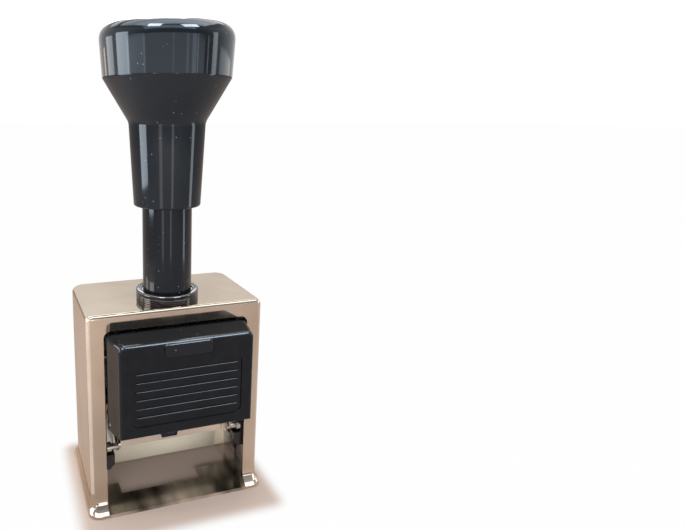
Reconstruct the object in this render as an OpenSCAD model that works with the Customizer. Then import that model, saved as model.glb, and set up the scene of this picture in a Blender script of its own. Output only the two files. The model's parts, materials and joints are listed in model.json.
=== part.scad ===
// Self-inking automatic numbering stamp: a plated housing on a flared brim, a sprung grip
// on a guide tube, and a sliding movement with six number wheels and a swinging ink carrier.
// Millimetres, +Z up, front towards -Y, stored with the grip up and the cover closed.

/* [Housing] */
// Outer width of the housing
housing_w = 56; // [54:0.5:61]
// Outer depth of the housing
housing_d = 33.8; // [32:0.2:38]
// Height of the housing's top face
housing_h = 65; // [60:0.2:70]
// Thickness of the housing's sheet
shell_wall = 1; // [0.8:0.1:1.2]
// Radius of the upright front edges and of the front top edge
front_edge_r = 1.8; // [1.3:0.1:2.5]
// Radius of the upright rear edges and of the rear top edge
rear_edge_r = 2.5; // [1.8:0.1:4]
// Radius of the top edges at the sides
side_edge_r = 2; // [1.5:0.1:4]
// Width of the front window
window_w = 45.8; // [45.6:0.1:47]
// Height of the sheet left above the window
window_head = 5; // [4:0.1:7]
// Radius of the window's top corners
window_r = 2.2; // [1:0.1:3]
// Reach of the brim at the front and the rear
brim_front = 2.95; // [2:0.05:4]
// Reach of the brim at the sides
brim_side = 1; // [0.8:0.1:2.5]
// Radius of the hollow flare into the brim
brim_flare_r = 5; // [4.5:0.5:7]
// Radius of the brim's corners in plan
brim_corner_r = 3.5; // [2:0.5:4]

/* [Base plate] */
// Thickness of the base plate and of the brim's edge
plate_t = 1; // [0.8:0.1:1.5]
// Half the width of the print aperture
aperture_half_w = 21.9; // [21.8:0.1:22.4]
// Reach of the aperture behind the wheel axle
aperture_rear = 8; // [7:0.5:10]
// Reach of the aperture in front of the wheel axle, beside the wheels
aperture_side = 2.7; // [2:0.1:4]
// Reach of the aperture's notch in front of the wheel axle
aperture_notch = 8; // [7.5:0.5:9]
// Reach of the upturned cheeks in front of the wheel axle
cheek_front = 9; // [7:0.5:10]
// Reach of the upturned cheeks behind the wheel axle
cheek_rear = 8.6; // [7:0.2:9]

/* [Grip and tube] */
// Distance of the grip's axis behind the housing's front face
grip_setback = 11.6; // [11.2:0.1:13]
// Outer radius of the guide tube
tube_r = 7.7; // [7.4:0.1:8]
// Wall of the guide tube
tube_wall = 1.3; // [1:0.1:1.4]
// Length of tube that shows between the collar and the grip
tube_show = 26.6; // [25:0.1:32]
// Length of tube inside the grip at rest
tube_overlap = 9; // [6:0.5:10]
// Width of the collar nut's ring round the tube
collar_ring = 2.25; // [1.5:0.05:3]
// Height of the collar nut
collar_h = 3; // [2.5:0.1:5]
// Radius of the grip's lower end
grip_foot_r = 10.3; // [10:0.1:11.5]
// Radius of the grip's neck at its upper end
grip_neck_r = 11.6; // [11:0.1:13]
// Length of the grip's neck
grip_neck_h = 25.1; // [24:0.1:30]
// Radius at the lower edge of the grip's band
grip_band_r = 19.15; // [17:0.05:21]
// Height of the cone below the band
grip_cone_h = 12.6; // [11:0.1:16]
// Radius at the upper edge of the grip's band
grip_top_r = 19.8; // [17.5:0.1:22]
// Height of the grip's band
grip_band_h = 10.1; // [8:0.1:14]
// Height of the grip's rounded top above its band
grip_dome_h = 5.4; // [4.6:0.1:8]
// Radius of the grip's top edge
grip_edge_r = 4.4; // [2:0.1:5]
// Radius of the hollow between the grip's neck and its cone
grip_hollow_r = 4; // [1:0.5:8]
// Radius between the grip's cone and its band
grip_shoulder_r = 2; // [0.5:0.5:4]
// Radius of the plunger rod
rod_r = 3.5; // [3:0.1:3.6]
// Wire diameter of the return spring
spring_wire = 1; // [0.8:0.1:1]
// Number of turns of the return spring
spring_turns = 12; // [8:1:14]

/* [Movement] */
// Height of the movement at rest, from the type's face up to the housing's top face
movement_h = 44.5; // [44:0.1:46]
// Distance of the wheel axle behind the housing's front face
wheel_setback = 13.9; // [13.7:0.1:14.2]
// Radius of the type on the number wheels
type_r = 9.5; // [9:0.1:9.8]
// Height of the type above the wheel's drum
type_h = 0.6; // [0.4:0.1:0.8]
// Distance from one number wheel to the next
wheel_pitch = 4.4; // [4.2:0.05:4.4]
// Middle of the six wheels, to the left of the grip's axis
wheels_x = -3.5; // [-3.6:0.05:-3.2]
// Width of a wheel's type drum
drum_w = 3; // [2.7:0.1:3]
// Radius of the wheel axle
axle_r = 2; // [1.5:0.1:2.2]
// Half the distance between the side plates
plate_gap_half = 17; // [17:0.1:17.4]
// Thickness of the side plates
side_t = 1; // [0.8:0.1:1]
// Reach of the side plates in front of the wheel axle
side_front = 9; // [8.5:0.1:9]
// Reach of the side plates behind the wheel axle
side_rear = 11; // [10:0.5:12]
// Depth of the side plates below the wheel axle
side_below = 5; // [4:0.5:5.5]
// Height of the bridge under the housing's top
bridge_t = 6; // [5:0.5:7]
// Height of the rubber stop between the bridge and the tube's flange
buffer_h = 3.4; // [2.5:0.1:5]
// Height of the front frame's plate
frame_h = 13; // [12:0.5:15]
// Height of the cam blocks' noses below the swing pins
nose_h = 4.9; // [4.5:0.1:8]

/* [Ink carrier] */
// Forward and upward offset of the carrier's pivot from the wheel axle
pivot_shift = 0.8; // [0.5:0.1:1]
// Sheet thickness of the carrier
carrier_t = 0.7; // [0.5:0.1:0.8]
// Depth of the carrier's tray, front to rear
tray_d = 10; // [9:0.2:10.4]
// Height of the tray's front and rear lips
tray_lip_h = 3.2; // [2:0.1:3.5]
// Thickness of the ink pad
pad_t = 3.7; // [3:0.1:4]
// Width of the notch in the tray's front lip
tray_notch_w = 5.2; // [3:0.2:8]
// Radius of the bushes that the carrier turns on
bush_r = 4; // [3.8:0.1:4.4]
// Width of the ring round each bush
hub_ring = 2; // [1.5:0.1:2.4]
// Radius of the swing pins
swing_pin_r = 1; // [0.8:0.1:1.1]
// Width of each tine of the forked arms
fork_tine = 1.5; // [1:0.1:1.6]

/* [Front cover] */
// Half the width of the cover at its rim
cover_rim_half = 22.3; // [22.2:0.05:22.5]
// Half the width of the cover's front face
cover_face_half = 20.4; // [19.6:0.1:20.8]
// Depth of the cover from its rim to its front face
cover_depth = 9.5; // [8.5:0.1:11]
// Height of the cover's rim
cover_h = 30.3; // [30:0.1:31]
// Rise of the cover's lower edge from its rim to its front face
cover_low_draft = 1.5; // [0.5:0.1:2.5]
// Fall of the cover's top from its rim to its front face
cover_top_draft = 1.3; // [0.9:0.1:3]
// Wall of the cover
cover_wall = 1; // [0.8:0.1:1.1]
// Radius of the cover's front top edge
cover_edge_r = 1.3; // [0.8:0.1:1.8]
// Radius of the cover's upright edges
cover_side_r = 0.7; // [0.4:0.1:1.5]
// Radius of the cover's lower edge
cover_lip_r = 0.2; // [0.1:0.05:0.3]
// Width of the finger tab
tab_w = 14; // [8:0.5:20]
// Height of the finger tab
tab_h = 3.7; // [2.5:0.1:5]
// Reach of the finger tab in front of the face
tab_out = 0.8; // [0.5:0.1:1.5]
// Depth of the panel sunk into the face
panel_depth = 0.4; // [0.2:0.05:0.5]
// Number of ribs across the panel
panel_ribs = 6; // [3:1:9]

/* [Drive] */
// Angle that the rocker swings through in one stroke
rocker_swing = 38; // [36.5:0.5:40]
// Distance of the cam pin from the wheel axle
cam_arm = 14; // [13.4:0.1:14.2]
// Radius of the cam pin
cam_pin_r = 1.2; // [1:0.1:1.4]
// Distance of the pawl rod from the wheel axle
pawl_arm = 13; // [12.6:0.1:13.4]
// Radius of the pawl rod
pawl_rod_r = 1; // [0.8:0.1:1.2]
// Tip radius of the wheels' ratchet teeth
ratchet_r = 7.4; // [7:0.1:7.6]
// Depth of the ratchet teeth
ratchet_depth = 1.2; // [0.8:0.1:1.4]

/* [Clearances] */
// Radial clearance of a pin or shaft that turns or slides
run_fit = 0.05; // [0.02:0.01:0.08]
// Radial clearance of a fixed pin, screw or insert in its seat
seat_fit = 0.02; // [0.01:0.01:0.05]
// Gap between pieces that pass each other
pass_gap = 0.3; // [0.25:0.05:0.35]
// Gap between fixed pieces that lie against each other
lay_gap = 0.1; // [0.05:0.05:0.15]
// Radial clearance of the grip's bore over the tube
grip_gap = 0.25; // [0.2:0.05:0.4]
// Room left for the paper under the type at the end of the stroke
paper_gap = 0.1; // [0:0.05:0.3]

/* [Hidden] */
$fn = 96;
arc_steps = 6;
// Reach of a cut beyond the piece that it goes through
over = 1;
WHEEL_COUNT = 6;
FIGURES = 10;
WHEELS = [for (i = [1:WHEEL_COUNT]) str("number_wheel_", i)];

// The origin is under the middle of the overall depth, from the finger tab to the rear brim
rim_gap = 0.5;
cover_rim_y = -housing_d / 2 - rim_gap;
cover_face_y = cover_rim_y - cover_depth;
rear_reach = housing_d / 2 + brim_front;
housing_y = (tab_out - cover_face_y - rear_reach) / 2;

// Places along the depth, from the housing's front face
grip_axis_y = -housing_d / 2 + grip_setback;
wheel_axis_y = -housing_d / 2 + wheel_setback;
aperture_rear_y = wheel_axis_y + aperture_rear;
aperture_side_y = wheel_axis_y - aperture_side;
aperture_notch_y = wheel_axis_y - aperture_notch;
cheek_front_y = wheel_axis_y - cheek_front;
cheek_rear_y = wheel_axis_y + cheek_rear;
side_front_y = wheel_axis_y - side_front;
side_rear_y = wheel_axis_y + side_rear;

// Inside of the shell
inner_x = housing_w / 2 - shell_wall;
inner_y = housing_d / 2 - shell_wall;
inner_z = housing_h - shell_wall;
window_half = window_w / 2;
window_top = housing_h - window_head;
skirt_lap = 0.5;
skirt_h = plate_t + brim_flare_r + skirt_lap;

// Travel of the grip and the movement, down to the paper
stroke = housing_h - movement_h - paper_gap;

// Heights along the grip's axis
flange_h = 2.2;
flange_ring = 1.8;
flange_r = tube_r + flange_ring;
tube_bore_r = tube_r - tube_wall;
collar_r = tube_r + collar_ring;
flange_z = inner_z - lay_gap - flange_h;
seat_z = inner_z;
collar_top_z = housing_h + collar_h;
grip_z = collar_top_z + tube_show;
tube_top_z = grip_z + tube_overlap;
bore_room = 3.6;
grip_bore_top_z = tube_top_z + stroke + bore_room;
insert_r = 5.5;
insert_h = 12;
rod_seat = 10;
rod_top_z = grip_bore_top_z + rod_seat;
bridge_top_z = flange_z - pass_gap - buffer_h;
bridge_z = bridge_top_z - bridge_t;
nut_h = 4;
nut_r = 6;
rod_end = 1;
rod_low_z = bridge_z - nut_h - rod_end;
spring_r = (rod_r + tube_bore_r) / 2;

// Wheels
wheel_z = stroke + paper_gap + type_r;
wheel_play = 0.2;
wheel_w = wheel_pitch - wheel_play;
wheels_half = WHEEL_COUNT * wheel_pitch / 2;
drum_r = type_r - type_h;
type_side = 0.2;
type_w = drum_w - 2 * type_side;
type_tall = 4.4;
function wheel_x(i) = wheels_x + (i - (WHEEL_COUNT + 1) / 2) * wheel_pitch;

// Stack across the movement, from the side plates outwards
side_out = plate_gap_half + side_t;
arm_in = side_out + pass_gap;
arm_out = arm_in + carrier_t;
leg_in = arm_out + pass_gap;
leg_t = 1;
leg_out = leg_in + leg_t;
block_in = aperture_half_w + plate_t / 2;

// Ink carrier and its pivot
pivot_y = wheel_axis_y - pivot_shift;
pivot_z = wheel_z + pivot_shift;
pad_top_z = wheel_z - type_r - pass_gap;
tray_z = pad_top_z - pad_t - carrier_t;
tray_front_y = wheel_axis_y - tray_d / 2;
tray_rear_y = wheel_axis_y + tray_d / 2;
hub_r = bush_r + hub_ring;
pin_room = 1.9;
swing_pin_y = -inner_y + pin_room;
swing_reach = pivot_y - swing_pin_y;
swing_rise = stroke / 2;
swing_pin_z = pivot_z - swing_rise;
fork_angle = 180 + atan(swing_rise / swing_reach);
// Play of the fork on its pin, for the pin's straight path against an even swing
fork_play_ratio = 0.045;
fork_play = fork_play_ratio * stroke;
fork_slot_half = swing_pin_r + fork_play;
fork_half = fork_slot_half + fork_tine;
fork_len = norm([swing_reach, swing_rise]) + swing_pin_r;
fork_reach = norm([fork_len, fork_half]);
swing_shoulder_ring = 0.6;
swing_shoulder_r = swing_pin_r + swing_shoulder_ring;
swing_shoulder_len = 1.4;
bush_flange_t = 0.4;
bush_flange_ring = 1.2;
carrier_wire = 0.5;
carrier_turns = 1.5;
turn_space = 0.45;
carrier_pitch = carrier_wire + turn_space;

// Point at a radius and an angle from the wheel axle, in the side view
function about_axle(r, a) = [wheel_axis_y + r * cos(a), wheel_z + r * sin(a)];

// Drive
rocker_room = 0.4;
rocker_end_room = 0.7;
rocker_x = wheels_x + wheels_half + rocker_room;
rocker_end_x = plate_gap_half - rocker_end_room;
rocker_hub_r = 4;
rocker_t = 1.2;
rocker_arm_half = 2.4;
rocker_rest = 90 + rocker_swing / 2;
lever_step = 3.2;
cam_pin_x = rocker_x + lever_step;
cam_t = 1.4;
cam_x = block_in - cam_t;
cam_play = 0.15;
cam_slot_half = cam_pin_r + cam_play;
cam_margin = 3;
pawl_angle = 25;
pawl_hub_r = 2;
pawl_y = wheel_axis_y + pawl_arm * cos(pawl_angle);
pawl_z = wheel_z + pawl_arm * sin(pawl_angle);
pawl_tip_angle = 12;
tooth_t = 0.8;
screw_r = 1.1;
screw_head_r = 1.9;
low_head = 0.3;
side_head = 0.25;

// Place and heading of the cam pin as the movement goes down, from 0 at rest to 1
function cam_at(t) = about_axle(cam_arm, rocker_rest - rocker_swing * t) - [0, stroke * t];

function cam_heading(t) = let(
    step = 0.005,
    way = cam_at(t + step) - cam_at(t - step)
) atan2(way[1], way[0]);

// Point on the slot's edge, at an angle from the pin's heading
function cam_edge(t, a) = cam_at(t) + cam_slot_half * [cos(cam_heading(t) + a), sin(cam_heading(t) + a)];

cam_low = cam_at(1);
cam_high = cam_at(0);
cam_front_y = cam_high[0] - cam_slot_half - cam_margin;
cam_rear_y = cam_low[0] + cam_slot_half + cam_margin;
cam_low_z = cam_low[1] - cam_slot_half - cam_margin;
cam_top_z = cam_high[1] + cam_slot_half + cam_margin;
cam_screw_in = [2, 4];
cam_screws = [[cam_front_y, cam_low_z] + cam_screw_in, [cam_rear_y, cam_top_z] - cam_screw_in];

// Cam blocks beside the print opening, between the base plate's cheeks and the swing pins
nose_room = 1;
nose_drop = 0.4;
nose_in = arm_out + nose_room;
nose_top_z = swing_pin_z - swing_shoulder_r - nose_drop;
block_out = inner_x - lay_gap;
block_z = nose_top_z - nose_h;
block_mid = (block_in + block_out) / 2;
block_front_room = 0.5;
block_front_y = -inner_y + block_front_room;
nose_rear_y = cam_front_y - pass_gap;
block_rear = 9;
block_over = 0.4;
block_rear_y = wheel_axis_y + block_rear;
block_top_z = cam_top_z + block_over;
cheek_h = block_z - lay_gap;
rivet_r = 1.5;
rivet_rear = 6.6;
rivet_y = wheel_axis_y + rivet_rear;
rivet_rise = 13.1;
rivet_z = block_z + rivet_rise;
rivet_in = 1;

// Front frame and the cover's hinge
leg_room = 0.4;
leg_d = 4.1;
leg_rear_y = block_front_y - leg_room;
leg_front_y = leg_rear_y - leg_d;
frame_low_z = bridge_top_z - frame_h;
frame_ear_z = pivot_z + fork_reach;
frame_t = 2.6;
frame_front_y = side_front_y - frame_t;
cover_room = 0.7;
cover_top_z = window_top - cover_room;
cover_low_z = cover_top_z - cover_h;
cover_face_low_z = cover_low_z + cover_low_draft;
cover_face_top_z = cover_top_z - cover_top_draft;
hinge_in = 1.1;
hinge_up = 2.2;
hinge_y = cover_rim_y - hinge_in;
hinge_z = cover_low_z + hinge_up;
hinge_pin_r = 1;
leg_foot_r = 2;
leg_head_room = 1;
leg_top_z = cover_top_z - cover_wall - leg_head_room;

// Tie bar and detents
tie_w = 4;
tie_in = 1;
tie_y = side_rear_y - tie_in;
tie_rise = 16;
tie_z = wheel_z + tie_rise;
detent_angle = 60;
detent_t = 0.5;
finger_w = 0.7;

// Guide stud on the left side plate
stud_r = 1.2;
stud_rear = 2;
stud_y = wheel_axis_y + stud_rear;
stud_rise = 15.4;
stud_z = wheel_z + stud_rise;
groove_depth = 1.4;

// Outlines
function unit(v) = v / norm(v);

// Points of one corner, rounded by radius r
function corner(a, p, b, r) = r == 0 ? [p] : let(
    u = unit(a - p),
    w = unit(b - p),
    half = acos(u * w) / 2,
    c = p + unit(u + w) * r / sin(half),
    s = p + u * r / tan(half) - c,
    e = p + w * r / tan(half) - c,
    start = atan2(s[1], s[0]),
    raw = atan2(e[1], e[0]) - start,
    turn = raw > 180 ? raw - 360 : raw < -180 ? raw + 360 : raw
) [for (i = [0:arc_steps]) c + r * [cos(start + turn * i / arc_steps), sin(start + turn * i / arc_steps)]];

function rounded(points, radii) = let(n = len(points)) [
    for (i = [0:n - 1]) each corner(points[(i + n - 1) % n], points[i], points[(i + 1) % n], radii[i])
];

function box_points(x0, y0, x1, y1) = [[x0, y0], [x1, y0], [x1, y1], [x0, y1]];

// Outline of half of a flared foot, from the brim's edge up to the straight wall
function flare_points(wall, reach) = let(end = acos(1 - reach / brim_flare_r)) [
    for (i = [0:arc_steps]) let(a = end * (1 - i / arc_steps)) [
        wall + brim_flare_r * (1 - cos(a)),
        plate_t + brim_flare_r * (sin(end) - sin(a))
    ]
];

// Whole outline of the flared foot in one view
function skirt_points(wall, reach) = let(
    side = concat([[wall + reach, 0]], flare_points(wall, reach), [[wall, skirt_h]]),
    n = len(side)
) concat(side, [for (i = [1:n]) [-side[n - i][0], side[n - i][1]]]);

// Extrude a side view, drawn in Y and Z, along X
module along_x(x0, x1) {
    translate([x0, 0, 0]) rotate([90, 0, 90]) linear_extrude(x1 - x0) children();
}

// Extrude a front view, drawn in X and Z, along Y
module along_y(y0, y1) {
    translate([0, y1, 0]) rotate([90, 0, 0]) linear_extrude(y1 - y0) children();
}

module bar_x(x0, x1, y, z, r) {
    translate([x0, y, z]) rotate([0, 90, 0]) cylinder(h = x1 - x0, r = r);
}

module bar_y(y0, y1, x, z, r) {
    translate([x, y1, z]) rotate([90, 0, 0]) cylinder(h = y1 - y0, r = r);
}

module both_sides() {
    children();
    mirror([1, 0, 0]) children();
}

module on_grip_axis() {
    translate([0, grip_axis_y, 0]) children();
}

// Round-headed screw along X, its head outwards
module screw_x(x_tip, x_head, y, z) {
    bar_x(x_tip, x_head, y, z, screw_r);
    bar_x(x_head, x_head + side_head, y, z, screw_head_r);
}

// Wound wire as one unbroken tube about Z: its rings lie in planes through the axis
module wound_wire(mean_r, wire, turns, heights, rings) {
    sides = 6;
    count = turns * rings;
    points = [
        for (i = [0:count]) each [
            for (j = [0:sides - 1]) let(
                a = 360 * i / rings,
                b = 360 * j / sides,
                r = mean_r + wire / 2 * cos(b)
            ) [r * cos(a), r * sin(a), lookup(i / rings, heights) + wire / 2 * sin(b)]
        ]
    ];
    skin = [
        for (i = [0:count - 1]) for (j = [0:sides - 1]) let(
            p = i * sides + j,
            q = i * sides + (j + 1) % sides
        ) each [[p, p + sides, q], [q, p + sides, q + sides]]
    ];
    low_cap = [for (j = [1:sides - 2]) [0, j, j + 1]];
    high_cap = [for (j = [1:sides - 2]) [count * sides, count * sides + j + 1, count * sides + j]];
    polyhedron(points, concat(skin, low_cap, high_cap));
}

// Least gap between neighbouring turns, measured on the wire's centre points
function turn_gap(turns, heights, rings, wire) = min([
    for (i = [0:(turns - 1) * rings]) lookup(i / rings + 1, heights) - lookup(i / rings, heights)
]) - wire;

// Rounded block of the shell, drawn in by inset on every face
module shell_form(inset, low_z) {
    half_w = housing_w / 2 - inset;
    half_d = housing_d / 2 - inset;
    top = housing_h - inset;
    front_r = front_edge_r - inset;
    rear_r = rear_edge_r - inset;
    side_r = side_edge_r - inset;
    intersection() {
        translate([0, 0, low_z]) linear_extrude(top - low_z)
            polygon(rounded(
                box_points(-half_w, -half_d, half_w, half_d), [front_r, front_r, rear_r, rear_r]));
        along_y(-half_d, half_d)
            polygon(rounded(box_points(-half_w, low_z, half_w, top), [0, 0, side_r, side_r]));
        along_x(-half_w, half_w)
            polygon(rounded(box_points(-half_d, low_z, half_d, top), [0, 0, rear_r, front_r]));
    }
}

module skirt() {
    half_w = housing_w / 2;
    half_d = housing_d / 2;
    edge_x = half_w + brim_side;
    edge_y = half_d + brim_front;
    corner_r = brim_corner_r * [1, 1, 1, 1];
    intersection() {
        linear_extrude(skirt_h) polygon(rounded(box_points(-edge_x, -edge_y, edge_x, edge_y), corner_r));
        along_y(-edge_y, edge_y) polygon(skirt_points(half_w, brim_side));
        along_x(-edge_x, edge_x) polygon(skirt_points(half_d, brim_front));
    }
}

module housing() {
    color("silver") difference() {
        union() {
            shell_form(0, 0);
            skirt();
        }
        shell_form(shell_wall, -over);
        along_y(-housing_d, -inner_y + 0.5) polygon(rounded(
            box_points(-window_half, -over, window_half, window_top), [0, 0, window_r, window_r]));
        on_grip_axis() translate([0, 0, inner_z - over]) cylinder(h = shell_wall + 2 * over, r = tube_r + seat_fit);
        both_sides() bar_x(inner_x - over, housing_w, rivet_y, rivet_z, rivet_r + seat_fit);
    }
}

module base_plate() {
    half_w = inner_x - lay_gap;
    half_d = inner_y - lay_gap;
    tongue = window_half - lay_gap;
    front = -housing_d / 2 - brim_front;
    notch = wheels_half + 0.4;
    cheek_r = 2;
    front_r = front_edge_r - shell_wall;
    rear_r = rear_edge_r - shell_wall;
    color("gainsboro") {
        linear_extrude(plate_t) difference() {
            union() {
                polygon(rounded(
                    box_points(-half_w, -half_d, half_w, half_d), [front_r, front_r, rear_r, rear_r]));
                polygon(box_points(-tongue, front, tongue, 0));
            }
            polygon(box_points(-aperture_half_w, aperture_side_y, aperture_half_w, aperture_rear_y));
            polygon(box_points(wheels_x - notch, aperture_notch_y, wheels_x + notch, 0));
        }
        both_sides() along_x(aperture_half_w, aperture_half_w + plate_t) polygon(rounded(
            box_points(cheek_front_y, plate_t / 2, cheek_rear_y, cheek_h), [0, 0, cheek_r, cheek_r]));
    }
}

module guide_tube() {
    color("black") on_grip_axis() rotate_extrude() polygon([
        [rod_r + run_fit, flange_z], [flange_r, flange_z], [flange_r, flange_z + flange_h],
        [tube_r, flange_z + flange_h], [tube_r, tube_top_z], [tube_bore_r, tube_top_z],
        [tube_bore_r, seat_z], [rod_r + run_fit, seat_z]
    ]);
}

module collar_nut() {
    chamfer = 0.8;
    groove = 0.25;
    groove_pitch = 0.7;
    color("black") on_grip_axis() difference() {
        rotate_extrude() polygon([
            [tube_r + seat_fit, housing_h], [collar_r, housing_h], [collar_r, collar_top_z - chamfer],
            [collar_r - chamfer, collar_top_z], [tube_r + chamfer, collar_top_z],
            [tube_r + seat_fit, collar_top_z - chamfer]
        ]);
        for (i = [1:3]) translate([0, 0, housing_h + i * groove_pitch - groove / 2]) difference() {
            cylinder(h = groove, r = collar_r + over);
            translate([0, 0, -over]) cylinder(h = groove + 2 * over, r = collar_r - groove);
        }
    }
}

// The end turns lie close together and the turns between them share the rest of the length
closed_space = 0.5;
closed_pitch = spring_wire + closed_space;
spring_heights = [
    [0, seat_z + lay_gap + spring_wire / 2],
    [1, seat_z + lay_gap + spring_wire / 2 + closed_pitch],
    [spring_turns - 1, grip_bore_top_z - lay_gap - spring_wire / 2 - closed_pitch],
    [spring_turns, grip_bore_top_z - lay_gap - spring_wire / 2]
];
spring_rings = 16;
echo(return_spring_least_gap = turn_gap(spring_turns, spring_heights, spring_rings, spring_wire));

module return_spring() {
    color("dimgray") on_grip_axis()
        wound_wire(spring_r, spring_wire, spring_turns, spring_heights, spring_rings);
}

module cam_block() {
    chamfer = 1.6;
    difference() {
        union() {
            along_x(block_in, block_out) polygon(rounded(
                box_points(block_front_y, block_z, block_rear_y, block_top_z), [0, 1, 2, 2]));
            along_y(block_front_y, nose_rear_y) polygon([
                [nose_in + chamfer, block_z], [block_out, block_z], [block_out, nose_top_z],
                [nose_in, nose_top_z], [nose_in, block_z + chamfer]
            ]);
        }
        bar_x(block_in - over, block_mid + lay_gap, swing_pin_y, swing_pin_z, swing_pin_r + seat_fit);
        bar_x(block_in + rivet_in - lay_gap, housing_w, rivet_y, rivet_z, rivet_r + seat_fit);
    }
}

// The left block has an upright groove that the movement's guide stud runs in
module cam_block_left() {
    half = stud_r + run_fit;
    color("black") mirror([1, 0, 0]) difference() {
        cam_block();
        translate([block_in - over, stud_y - half, stud_z - stroke - stud_r - pass_gap])
            cube([over + groove_depth, 2 * half, block_top_z]);
    }
}

module cam_block_right() {
    color("black") difference() {
        cam_block();
        drive_cam_holes(block_in - over, block_mid + lay_gap, screw_r + seat_fit);
    }
}

// One rivet a side, flush with the outside of the housing
module wall_rivets() {
    color("silver") both_sides() bar_x(block_in + rivet_in, housing_w / 2, rivet_y, rivet_z, rivet_r);
}

module swing_pins() {
    color("silver") both_sides() {
        bar_x(side_out + lay_gap, block_mid, swing_pin_y, swing_pin_z, swing_pin_r);
        bar_x(block_in - swing_shoulder_len, block_in - lay_gap, swing_pin_y, swing_pin_z, swing_shoulder_r);
    }
}

module drive_cam_holes(x0, x1, r) {
    for (p = cam_screws) bar_x(x0, x1, p[0], p[1], r);
}

module drive_cam() {
    steps = 10;
    slot = concat(
        [for (i = [0:steps]) cam_edge(i / steps, 90)],
        [for (i = [1:steps - 1]) cam_edge(1, 90 - 180 * i / steps)],
        [for (i = [0:steps]) cam_edge(1 - i / steps, -90)],
        [for (i = [1:steps - 1]) cam_edge(0, -90 - 180 * i / steps)]
    );
    color("silver") difference() {
        along_x(cam_x, block_in) polygon(rounded(
            box_points(cam_front_y, cam_low_z, cam_rear_y, cam_top_z), [2, 2, 2, 2]));
        along_x(cam_x - over, block_in + over) polygon(slot);
        drive_cam_holes(cam_x - over, block_in + over, screw_r + seat_fit);
    }
}

module drive_cam_screws() {
    color("gray") {
        drive_cam_holes(cam_x - low_head, block_mid, screw_r);
        drive_cam_holes(cam_x - low_head, cam_x - seat_fit, screw_head_r);
    }
}

module grip() {
    foot_r = 0.6;
    neck_z = grip_z + grip_neck_h;
    band_z = neck_z + grip_cone_h;
    edge_z = band_z + grip_band_h;
    top_z = edge_z + grip_dome_h;
    bore_r = tube_r + grip_gap;
    seat_r = insert_r + seat_fit;
    insert_top_z = grip_bore_top_z + insert_h + lay_gap;
    crown_z = edge_z + grip_edge_r;
    crown_r = grip_top_r - grip_edge_r;
    color("black") on_grip_axis() rotate_extrude() polygon(rounded([
        [bore_r, grip_z], [grip_foot_r, grip_z], [grip_neck_r, neck_z], [grip_band_r, band_z],
        [grip_top_r, edge_z], [grip_top_r, crown_z],
        [crown_r / 2, top_z - (top_z - crown_z) / 4], [0, top_z],
        [0, insert_top_z], [seat_r, insert_top_z], [seat_r, grip_bore_top_z], [bore_r, grip_bore_top_z]
    ], [0, foot_r, grip_hollow_r, grip_shoulder_r, 0, grip_edge_r * 0.9, grip_top_r, 0, 0, 0, 0, 0]));
}

module grip_insert() {
    color("goldenrod") on_grip_axis() translate([0, 0, grip_bore_top_z]) difference() {
        cylinder(h = insert_h, r = insert_r);
        translate([0, 0, -over]) cylinder(h = rod_top_z - grip_bore_top_z + over + lay_gap, r = rod_r + seat_fit);
    }
}

module plunger_rod() {
    color("silver") on_grip_axis() translate([0, 0, rod_low_z])
        cylinder(h = rod_top_z - rod_low_z, r = rod_r);
}

module rod_nut() {
    color("silver") on_grip_axis() translate([0, 0, bridge_z - nut_h]) difference() {
        cylinder(h = nut_h, r = nut_r, $fn = 6);
        translate([0, 0, -over]) cylinder(h = nut_h + 2 * over, r = rod_r + seat_fit);
    }
}

module stop_buffer() {
    ring = 4;
    color("dimgray") on_grip_axis() translate([0, 0, bridge_top_z]) difference() {
        cylinder(h = buffer_h, r = rod_r + ring);
        translate([0, 0, -over]) cylinder(h = buffer_h + 2 * over, r = rod_r + run_fit);
    }
}

bridge_screw_in = [4, 6];
bridge_screw_y = [side_front_y + bridge_screw_in[0], side_rear_y - bridge_screw_in[1]];
bridge_screw_z = bridge_z + bridge_t / 2;
tie_mid_z = tie_z + tie_w / 2;
frame_screw_x = 9;

module side_screw_bores(x0, x1, r) {
    for (y = bridge_screw_y) bar_x(x0, x1, y, bridge_screw_z, r);
    bar_x(x0, x1, tie_y, tie_mid_z, r);
}

module bridge() {
    bolt_depth = 5;
    bridge_short = 2;
    half = plate_gap_half - seat_fit;
    color("silver") difference() {
        translate([-half, side_front_y, bridge_z])
            cube([2 * half, side_rear_y - side_front_y - bridge_short, bridge_t]);
        on_grip_axis() translate([0, 0, bridge_z - over]) cylinder(h = bridge_t + 2 * over, r = rod_r + seat_fit);
        both_sides() for (y = bridge_screw_y)
            bar_x(half - bolt_depth, half + over, y, bridge_screw_z, screw_r + seat_fit);
        for (x = [-frame_screw_x, frame_screw_x])
            bar_y(side_front_y - over, side_front_y + bolt_depth, x, bridge_screw_z, screw_r + seat_fit);
    }
}

module side_plate() {
    low_z = wheel_z - side_below;
    difference() {
        along_x(plate_gap_half, side_out) polygon(rounded(
            box_points(side_front_y, low_z, side_rear_y, bridge_top_z), [3, 3, 1, 1]));
        bar_x(plate_gap_half - over, side_out + over, wheel_axis_y, wheel_z, axle_r + seat_fit);
        side_screw_bores(plate_gap_half - over, side_out + over, screw_r + seat_fit);
    }
}

module side_plate_left() {
    color("silver") mirror([1, 0, 0]) difference() {
        side_plate();
        bar_x(plate_gap_half - over, side_out + over, stud_y, stud_z, stud_r + seat_fit);
    }
}

module guide_stud() {
    head = 0.6;
    color("silver") mirror([1, 0, 0]) {
        bar_x(plate_gap_half - head, block_in + groove_depth - pass_gap, stud_y, stud_z, stud_r);
        bar_x(plate_gap_half - head, plate_gap_half - seat_fit, stud_y, stud_z, stud_r + 0.8);
    }
}

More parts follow.
